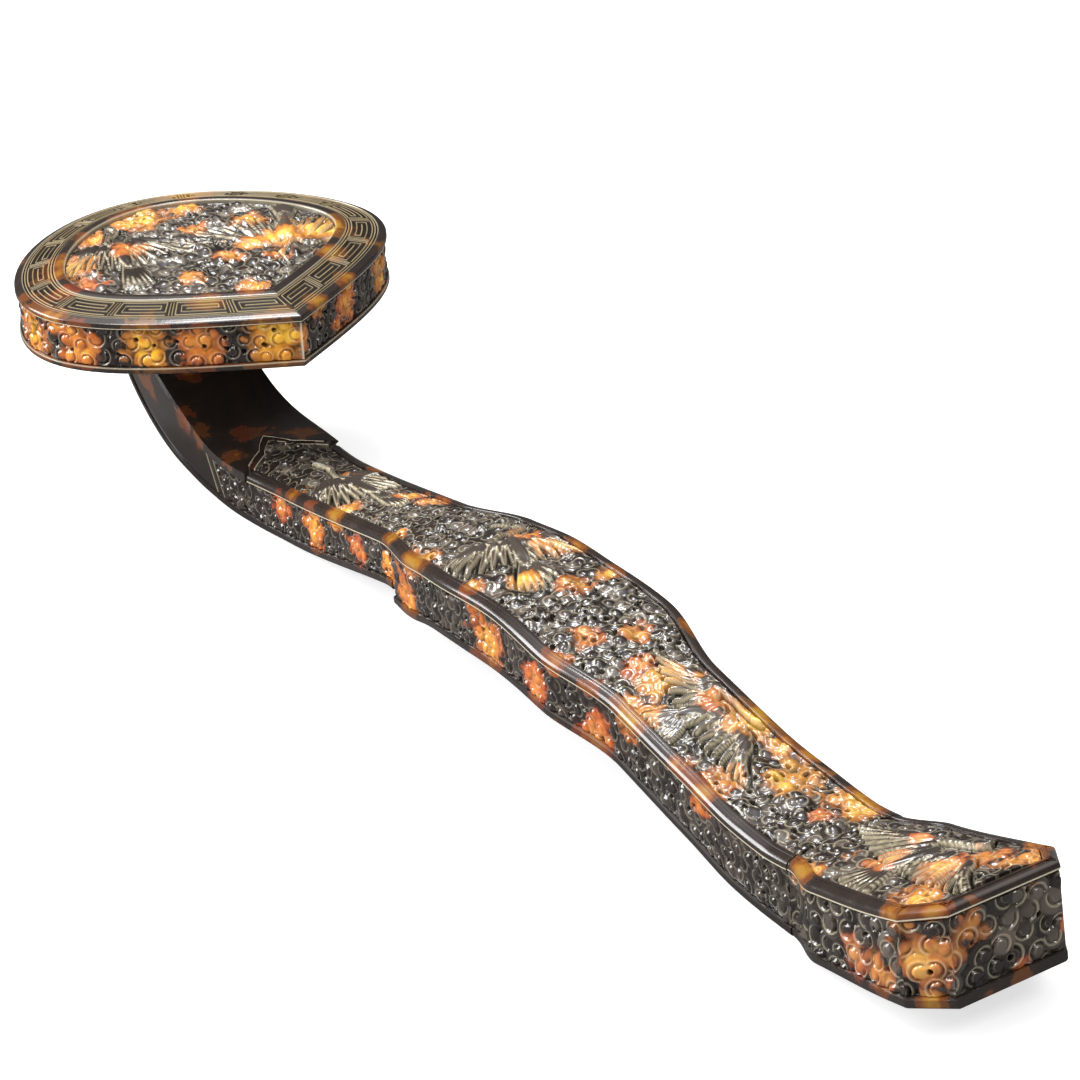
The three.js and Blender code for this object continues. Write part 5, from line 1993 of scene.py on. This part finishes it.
@dataclass
class Terminal:
    """The raised terminal with flared sides and cut corners, under its own border."""

    sceptre: Sceptre
    workshop: Workshop
    carved: Dress
    plain: Dress
    spacing: float = 0.35
    cut_count: int = 30
    end_count: int = 80
    wall_spacing: float = 0.25
    wall_rows: int = 60
    panel_rows: int = 190
    panel_columns: int = 120
    back_count: int = 90
    wall_clouds: Clouds = Clouds(
        -1.25, (3.3, 4.4), (-0.15, 0.35), 7, 0.35, dome_fall=0.26, groove=0.18, edge_width=0.26,
    )
    panel_clouds: Clouds = Clouds(-1.7, (2.4, 3.1), (-0.25, 0.3), 9, 0.7)
    crane: Crane = Crane(172, -1.0, 78, 32, 46, 0.7, 0.1, 0.25)

    def outline(self) -> Tuple[Array, Array, List[int]]:
        """Outline in plan with its inward directions.

        Returns:
            Rows of x and y, rows of inward steps for 1 mm of inset, and the indices of the corners.
        """
        lines = self.sceptre.lines
        x = np.arange(lines.notch_x + self.sceptre.plating.joint, lines.corner_x, self.spacing)
        side = np.stack([x, -lines.terminal_half_at(x)], axis=1)
        corner = np.array([lines.corner_x, -float(lines.terminal_half_at(np.array(lines.corner_x)))])
        end = np.array([lines.terminal_end.x, -lines.end_half])
        cut = corner + (end - corner) * np.linspace(0, 1, self.cut_count + 1)[:, None]
        half = np.vstack([side, cut])
        y = np.linspace(-lines.end_half, lines.end_half, self.end_count + 1)[1:-1]
        middle = np.stack([np.full(len(y), lines.terminal_end.x), y], axis=1)
        points = np.vstack([half, middle, half[::-1] * np.array([1, -1])])
        far = len(half) + len(middle)
        corners = [len(side), len(half) - 1, far, far + self.cut_count]
        steps = np.diff(points, axis=0)
        steps /= np.linalg.norm(steps, axis=1)[:, None]
        normals = np.stack([-steps[:, 1], steps[:, 0]], axis=1)
        before = np.vstack([normals[:1], normals])
        mitre = before + np.vstack([normals, normals[-1:]])
        mitre /= np.linalg.norm(mitre, axis=1)[:, None]
        return points, mitre / np.sum(mitre * before, axis=1)[:, None], corners

    def run_at(self, x: Array) -> Array:
        """Runs at which the top face reaches stations x."""
        path = self.sceptre.terminal
        return np.interp(x, path.top[:, 0], path.run)

    def place(self, flat: Array, drop: Array) -> Array:
        """Points so far below plan places, x and y, of the terminal's top face."""
        return self.sceptre.terminal.place(self.run_at(flat[..., 0]), flat[..., 1], drop)

    def build(self) -> None:
        """Builds the border, walls, panel and back."""
        self.build_border()
        self.build_walls()
        self.build_panel()
        path = self.sceptre.terminal
        rings = back_rings(self.sceptre.plating, path, np.linspace(0, path.length, self.back_count))
        mesh = ShellMesh().add_tube(rings)
        self.workshop.make(mesh, "terminal_back", self.plain, "terminal_back_plate")

    def build_border(self) -> None:
        """Builds the rounded border round the terminal."""
        points, inward, _ = self.outline()
        section, pale = band_section(self.sceptre.plating)
        flat = points[:, None, :] + inward[:, None, :] * section[:, 0][None, :, None]
        rings = self.place(flat, section[:, 1])
        mesh = ShellMesh().add_tube(rings, cream=pale)
        self.workshop.make(mesh, "terminal_band", self.plain, "terminal_border")

    def build_walls(self) -> None:
        """Builds the five carved wall plates."""
        plating, path = self.sceptre.plating, self.sceptre.terminal
        points, inward, corners = self.outline()
        run = runs_along(points)
        chart = CarvedChart((-1, float(run[-1]) + 1), (0, float(path.depth.max())), self.wall_clouds.ground)
        chart.carve(self.wall_clouds)
        pieces = {
            "terminal_clouds_left": "terminal_wall_left",
            "terminal_corner_clouds_left": "terminal_corner_left",
            "terminal_end_clouds": "terminal_end_wall",
            "terminal_corner_clouds_right": "terminal_corner_right",
            "terminal_clouds_right": "terminal_wall_right",
        }
        marks = [0, *corners, len(points) - 1]
        share = np.linspace(0, 1, self.wall_rows)
        high = plating.border_height + plating.glue_gap
        low = plating.back_thickness + plating.glue_gap
        for (name, node), first, last in zip(pieces.items(), marks, marks[1:]):
            index = np.arange(first, last + 1)
            count = max(int((run[last] - run[first]) / self.wall_spacing), 24)
            at = np.linspace(run[first], run[last], count)
            flat, step = (
                np.stack([np.interp(at, run[index], rows[index, k]) for k in (0, 1)], axis=1)
                for rows in (points, inward)
            )
            depth = path.value("depth", self.run_at(flat[:, 0]))
            drop = high + (depth[:, None] - low - high) * share
            grid_u = np.broadcast_to(at[:, None], drop.shape)
            cut = chart.sample(grid_u, drop)
            height = faded(cut.pop("height"), np.minimum(grid_u - at[0], at[-1] - grid_u), 0.7, 0.15)
            back = np.full(drop.shape, plating.wall_reveal + plating.wall_thickness)
            top, floor = (
                self.place(flat[:, None, :] + step[:, None, :] * inset[..., None], drop)
                for inset in (plating.wall_reveal - height, back)
            )
            mesh = ShellMesh().add_plate(top, floor, **cut)
            self.workshop.make(mesh, name, self.carved, node)

    def build_panel(self) -> None:
        """Builds the carved panel with its crane."""
        lines, plating = self.sceptre.lines, self.sceptre.plating
        inset = plating.border_width + plating.glue_gap
        x = np.linspace(lines.notch_x + plating.joint, lines.terminal_end.x - inset, self.panel_rows)
        share = np.linspace(-1, 1, self.panel_columns)
        across = (-lines.terminal_half, lines.terminal_half)
        chart = CarvedChart((x[0] - 2, x[-1] + 2), across, self.panel_clouds.ground)
        chart.carve(self.panel_clouds, [self.crane])
        half = lines.terminal_half_at(x, inset)[:, None]
        y = share * half
        grid_x = np.broadcast_to(x[:, None], y.shape)
        cut = chart.sample(grid_x, y)
        crown = plating.panel_recess - plating.panel_crown * (1 - share ** 2)
        edge = np.minimum((1 - np.abs(share)) * half, (x[-1] - grid_x))
        height = faded(cut.pop("height"), edge, 0.6, -0.3)
        flat = np.stack([grid_x, y], axis=-1)
        top, floor = self.place(flat, crown - height), self.place(flat, plating.panel_thickness)
        node = "terminal_carved_panel"
        mesh = ShellMesh().add_plate(top, floor, **cut)
        self.workshop.make(mesh, "terminal_crane_and_clouds", self.carved, node)


@dataclass
class Studio:
    """Pale floor, soft lamps and the camera at the photograph's angle."""

    camera_place: Solid = (0.62809, -0.31042, 0.3729)
    camera_right: Solid = (0.5024, 0.8586, -0.1018)
    camera_up: Solid = (-0.3325, 0.3005, 0.8940)
    camera_forward: Solid = (-0.7982, 0.4153, -0.4364)
    lens: float = 106.2
    sensor: float = 36.0
    floor_size: float = 12.0
    world_strength: float = 2.0
    horizon: float = 0.07
    horizon_heights: Flat = (0.6, 0.97)
    floor_glow: float = 0.7

    def build(self) -> None:
        """Builds the camera, the floor, the lamps and the world."""
        self.build_camera()
        self.build_floor()
        self.build_world()
        self.lamp("key", (0.1, -0.5, 1.3), 0.45, 10.0)
        self.lamp("crown", (-0.35, 0.2, 1.3), 0.4, 10.0)
        self.lamp("fill", (1.0, 0.1, 1.1), 0.35, 6.0)
        self.lamp("glint", (-0.8, -1.0, 0.6), 0.85, 28.0)

    def build_camera(self) -> None:
        """Builds the camera."""
        data = bpy.data.cameras.new("camera")
        data.lens = self.lens
        data.sensor_width = self.sensor
        data.sensor_fit = "HORIZONTAL"
        data.clip_end = 20
        camera = bpy.data.objects.new("camera", data)
        bpy.context.scene.collection.objects.link(camera)
        behind = [-part for part in self.camera_forward]
        turn = Matrix((self.camera_right, self.camera_up, behind)).transposed()
        camera.matrix_world = Matrix.Translation(self.camera_place) @ turn.to_4x4()
        bpy.context.scene.camera = camera

    def build_floor(self) -> None:
        """Builds the pale floor, which keeps the shadow and shows nearly white."""
        half = self.floor_size / 2
        data = bpy.data.meshes.new("floor")
        corners = [(-half, -half, 0), (half, -half, 0), (half, half, 0), (-half, half, 0)]
        data.from_pydata(corners, [], [(0, 1, 2, 3)])
        tree = NodeTree(bpy.data.materials.new("pale_floor"))
        rays = tree.node("ShaderNodeLightPath")
        shown = tree.math("MULTIPLY", rays.outputs["Is Camera Ray"], self.floor_glow)
        tone = tree.mix(rays.outputs["Is Glossy Ray"], (0.5, 0.5, 0.5, 1), (0.1, 0.1, 0.1, 1))
        matte = tree.node("ShaderNodeBsdfDiffuse", {"Color": tone})
        glow = tree.node("ShaderNodeEmission", {"Color": WHITE, "Strength": shown})
        both = tree.node("ShaderNodeAddShader", {0: matte.outputs[0], 1: glow.outputs[0]})
        data.materials.append(tree.surface(both))
        floor = bpy.data.objects.new("floor", data)
        bpy.context.scene.collection.objects.link(floor)

    def build_world(self) -> None:
        """Builds the surroundings: white to the eye, bright above and dim at the horizon as light."""
        world = bpy.data.worlds.new("surroundings")
        bpy.context.scene.world = world
        tree = NodeTree(world)
        rays = tree.node("ShaderNodeLightPath").outputs
        seen = tree.math("MAXIMUM", rays["Is Camera Ray"], rays["Is Transmission Ray"])
        way = tree.node("ShaderNodeTexCoord").outputs["Generated"]
        height = tree.node("ShaderNodeSeparateXYZ", {0: way}).outputs["Z"]
        climb = tree.scaled(height, *self.horizon_heights, self.horizon, self.world_strength)
        light = tree.node("ShaderNodeBackground", {"Color": WHITE, "Strength": climb}).outputs[0]
        shown = tree.node("ShaderNodeBackground", {"Color": WHITE}).outputs[0]
        both = tree.node("ShaderNodeMixShader", {0: seen, 1: light, 2: shown})
        tree.node("ShaderNodeOutputWorld", {"Surface": both.outputs[0]})

    @staticmethod
    def lamp(name: str, place: Solid, size: float, power: float) -> None:
        """Adds a soft square lamp that faces the sceptre.

        Args:
            name: Name of the lamp.
            place: Where it hangs.
            size: Width of its face.
            power: Its power in watts.
        """
        data = bpy.data.lights.new(name, "AREA")
        data.size = size
        data.energy = power
        lamp = bpy.data.objects.new(name, data)
        bpy.context.scene.collection.objects.link(lamp)
        lamp.location = place
        aim = Vector((0, 0, 0.02)) - Vector(place)
        lamp.rotation_euler = aim.to_track_quat("-Z", "Y").to_euler()


def shell_colours(head: "Head") -> ShellColours:
    """Light patches of the shell, where the sceptre shows them.

    Args:
        head: The head, in whose own frame its patches are placed.

    Returns:
        The patches, each placed by x, y, z and size in millimetres.
    """
    neck_strength = 0.62
    on_head = {
        Hue.RED: ((-53, -36, 3, 6), (-52, -44, 2, 4.5)),
        Hue.ORANGE: (
            (-37, -50, -7, 8.5), (-14, -24, -7, 9), (-14, 20, -7, 8.5), (-17, -32, 0, 4), (-19, -4, 2.5, 5),
            (-65, -17, 3, 7), (-69, 4, 3, 5.5), (-44, 2, 3, 6), (-37, 14, 3, 5), (-106, -5, -7, 8.5),
        ),
        Hue.AMBER: (
            (-55, -52, -7, 10.5), (1, 2, -7, 5.5), (-44, -53, 0, 7), (-21, -17, 2, 5.5), (-5, 9, 0, 5.5),
            (-14, 23, 0, 5.5), (-99, 18, 1, 11), (-29, 26, 2.5, 6), (-66, -36, 3, 11), (-82, -21, 3, 6),
            (-87, -2, 3, 10), (-65, 21, 3, 7.5), (-49, 12, 3, 6), (-47, 21, 3, 8), (-22, -2, 3, 6),
            (-37, -12, 3, 5.5), (-25, -50, -14, 7), (-2, -12, -14, 5.5), (-100, 30, -7, 11),
            (-85, -45, -7, 8.5),
        ),
        Hue.YELLOW: (
            (-22, -36, -7, 10), (-4, -7, -7, 11), (-30, 42, -7, 9), (-21, -39, 0, 4.5), (-86, 12, 3, 6),
            (-46, 34, 3, 10), (-75, 50, -7, 10),
        ),
    }
    on_shaft = {
        Hue.RED: (
            (70, -2, 28, 5), (-100, -13, 11, 6), (-54, -13, 16, 5.5), (48, -18, 21, 7), (69, -15, 15, 7.5),
            (174, -19, 12, 6), (164, 7, 24, 4), (203, 3, 13, 4.5), (136, 1, 18, 5),
        ),
        Hue.ORANGE: (
            (-1, 8, 32, 6), (33, 3, 33, 5.5), (54, -6, 32, 6), (58, 4, 31, 5.5), (90, 5, 24, 5.5),
            (111, -7, 20, 5.5), (-58, 6, 23, 5), (-48, 8, 24, 5.5), (184, -2, 29, 7), (167, -4, 25, 6),
            (185, 8, 29, 7), (15, -15, 33, 4.5), (56, -17, 31, 5.5), (69, -17, 28, 5), (102, -13, 22, 4.5),
            (112, -12, 20, 7.5), (199, -16, 34, 5.5), (-80, -13, 12, 8), (-20, -17, 17, 9),
            (24, -18, 22, 9.5),
            (184, -19, 13, 6), (196, -17, 20, 7), (203, 15, 20, 3.5), (-16, -15, 10, 5.5), (54, -15, 10, 6),
            (-60, 13, 14, 7.5), (40, 18, 20, 9), (150, 14, 10, 9),
        ),
        Hue.AMBER: (
            (12, 13, 33, 8), (31, 13, 33, 5), (108, 10, 21, 5), (136, 12, 18, 9.5), (114, 14, 20, 5),
            (194, 9, 34, 6.5), (190, -12, 31, 7), (-93, -13, 19, 5), (-66, -12, 22, 8), (-33, -12, 27, 4.5),
            (-12, -17, 31, 8), (82, -13, 26, 8), (152, -16, 21, 7), (191, -20, 31, 5.5), (-35, -13, 18, 5.5),
            (198, -16, 12, 4), (-90, 13, 19, 5), (62, 18, 30, 5), (190, 19, 30, 6),
        ),
        Hue.YELLOW: ((22, -5, 33, 6), (76, 0, 27, 7.5), (98, 10, 23, 9.5), (120, 5, 19, 9)),
    }
    on_neck = {
        Hue.AMBER: (
            (-132, 9, 16, 6), (-131, -12, 15, 6), (-150, -14, 16, 6), (-183, -14, 22, 7), (-150, 0, 2, 8),
        ),
        Hue.ORANGE: ((-141, -2, 16, 7), (-160, -14, 18, 6), (-170, -6, 27, 6), (-196, 6, 30, 8)),
    }
    patches = []
    for hue, spots in on_head.items():
        for x, y, z, size in spots:
            patches.append((*head.place(np.array([x, y, z], float)), size, hue.value, 1.0))
    for spots_by_hue, strength in ((on_shaft, 1.0), (on_neck, neck_strength)):
        for hue, spots in spots_by_hue.items():
            patches += [(*spot, hue.value, strength) for spot in spots]
    return ShellColours(patches)


def dress_hidden_wood() -> None:
    """Gives the core, dowels and peg their woods."""
    hardwood = WoodFinish("hardwood_core", (116, 78, 48), (74, 46, 28)).material()
    bamboo = WoodFinish("bamboo_pins", (206, 178, 122), (170, 138, 86)).material()
    for name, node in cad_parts.items():
        if name.endswith("_core"):
            finish = hardwood
        elif name.endswith("_dowel") or name.endswith("_peg"):
            finish = bamboo
        else:
            continue
        for slot in node.material_slots:
            slot.material = finish


def main() -> None:
    """Builds the dressed sceptre and its studio."""
    logging.basicConfig(level=logging.INFO, format="%(message)s")
    bpy.context.scene.view_settings.view_transform = "Standard"
    sceptre = Sceptre()
    workshop = Workshop(sceptre)
    carved = TortoiseshellFinish(
        "carved_shell", 0.21, 0.58, 0.84, smoke=0.85, muted=0.22, pale=(234, 220, 186),
    ).dress("carved_shell")
    walls = TortoiseshellFinish(
        "carved_wall_shell", 0.17, 0.58, 0.6, smoke=0.35, muted=0.06, pale=(230, 216, 190),
    ).dress("carved_shell")
    plain = TortoiseshellFinish(
        "polished_shell", 0.2, 0.62, 0.8, light=0.92, warmth=0.58, coat=0.2, spread=0.14,
    ).dress("plain_shell")
    fretted = TortoiseshellFinish(
        "fretted_shell", 0.4, 0.64, 0.6, light=0.95, warmth=0.56, coat=0.0, specular=0.15,
        pale=(190, 170, 128),
    ).dress("plain_shell")
    head = Head(workshop, carved, plain, fretted, walls)
    workshop.colours = shell_colours(head)
    faces = ShaftFaces(sceptre, workshop, carved, plain)
    faces.build()
    NeckFace(faces).build()
    ShaftSides(sceptre, workshop, walls, plain).build()
    head.build()
    Terminal(sceptre, workshop, carved, plain).build()
    dress_hidden_wood()
    Studio().build()
    LOG.info("pieces made: %d", workshop.pieces)


if __name__ == "__main__":
    main()
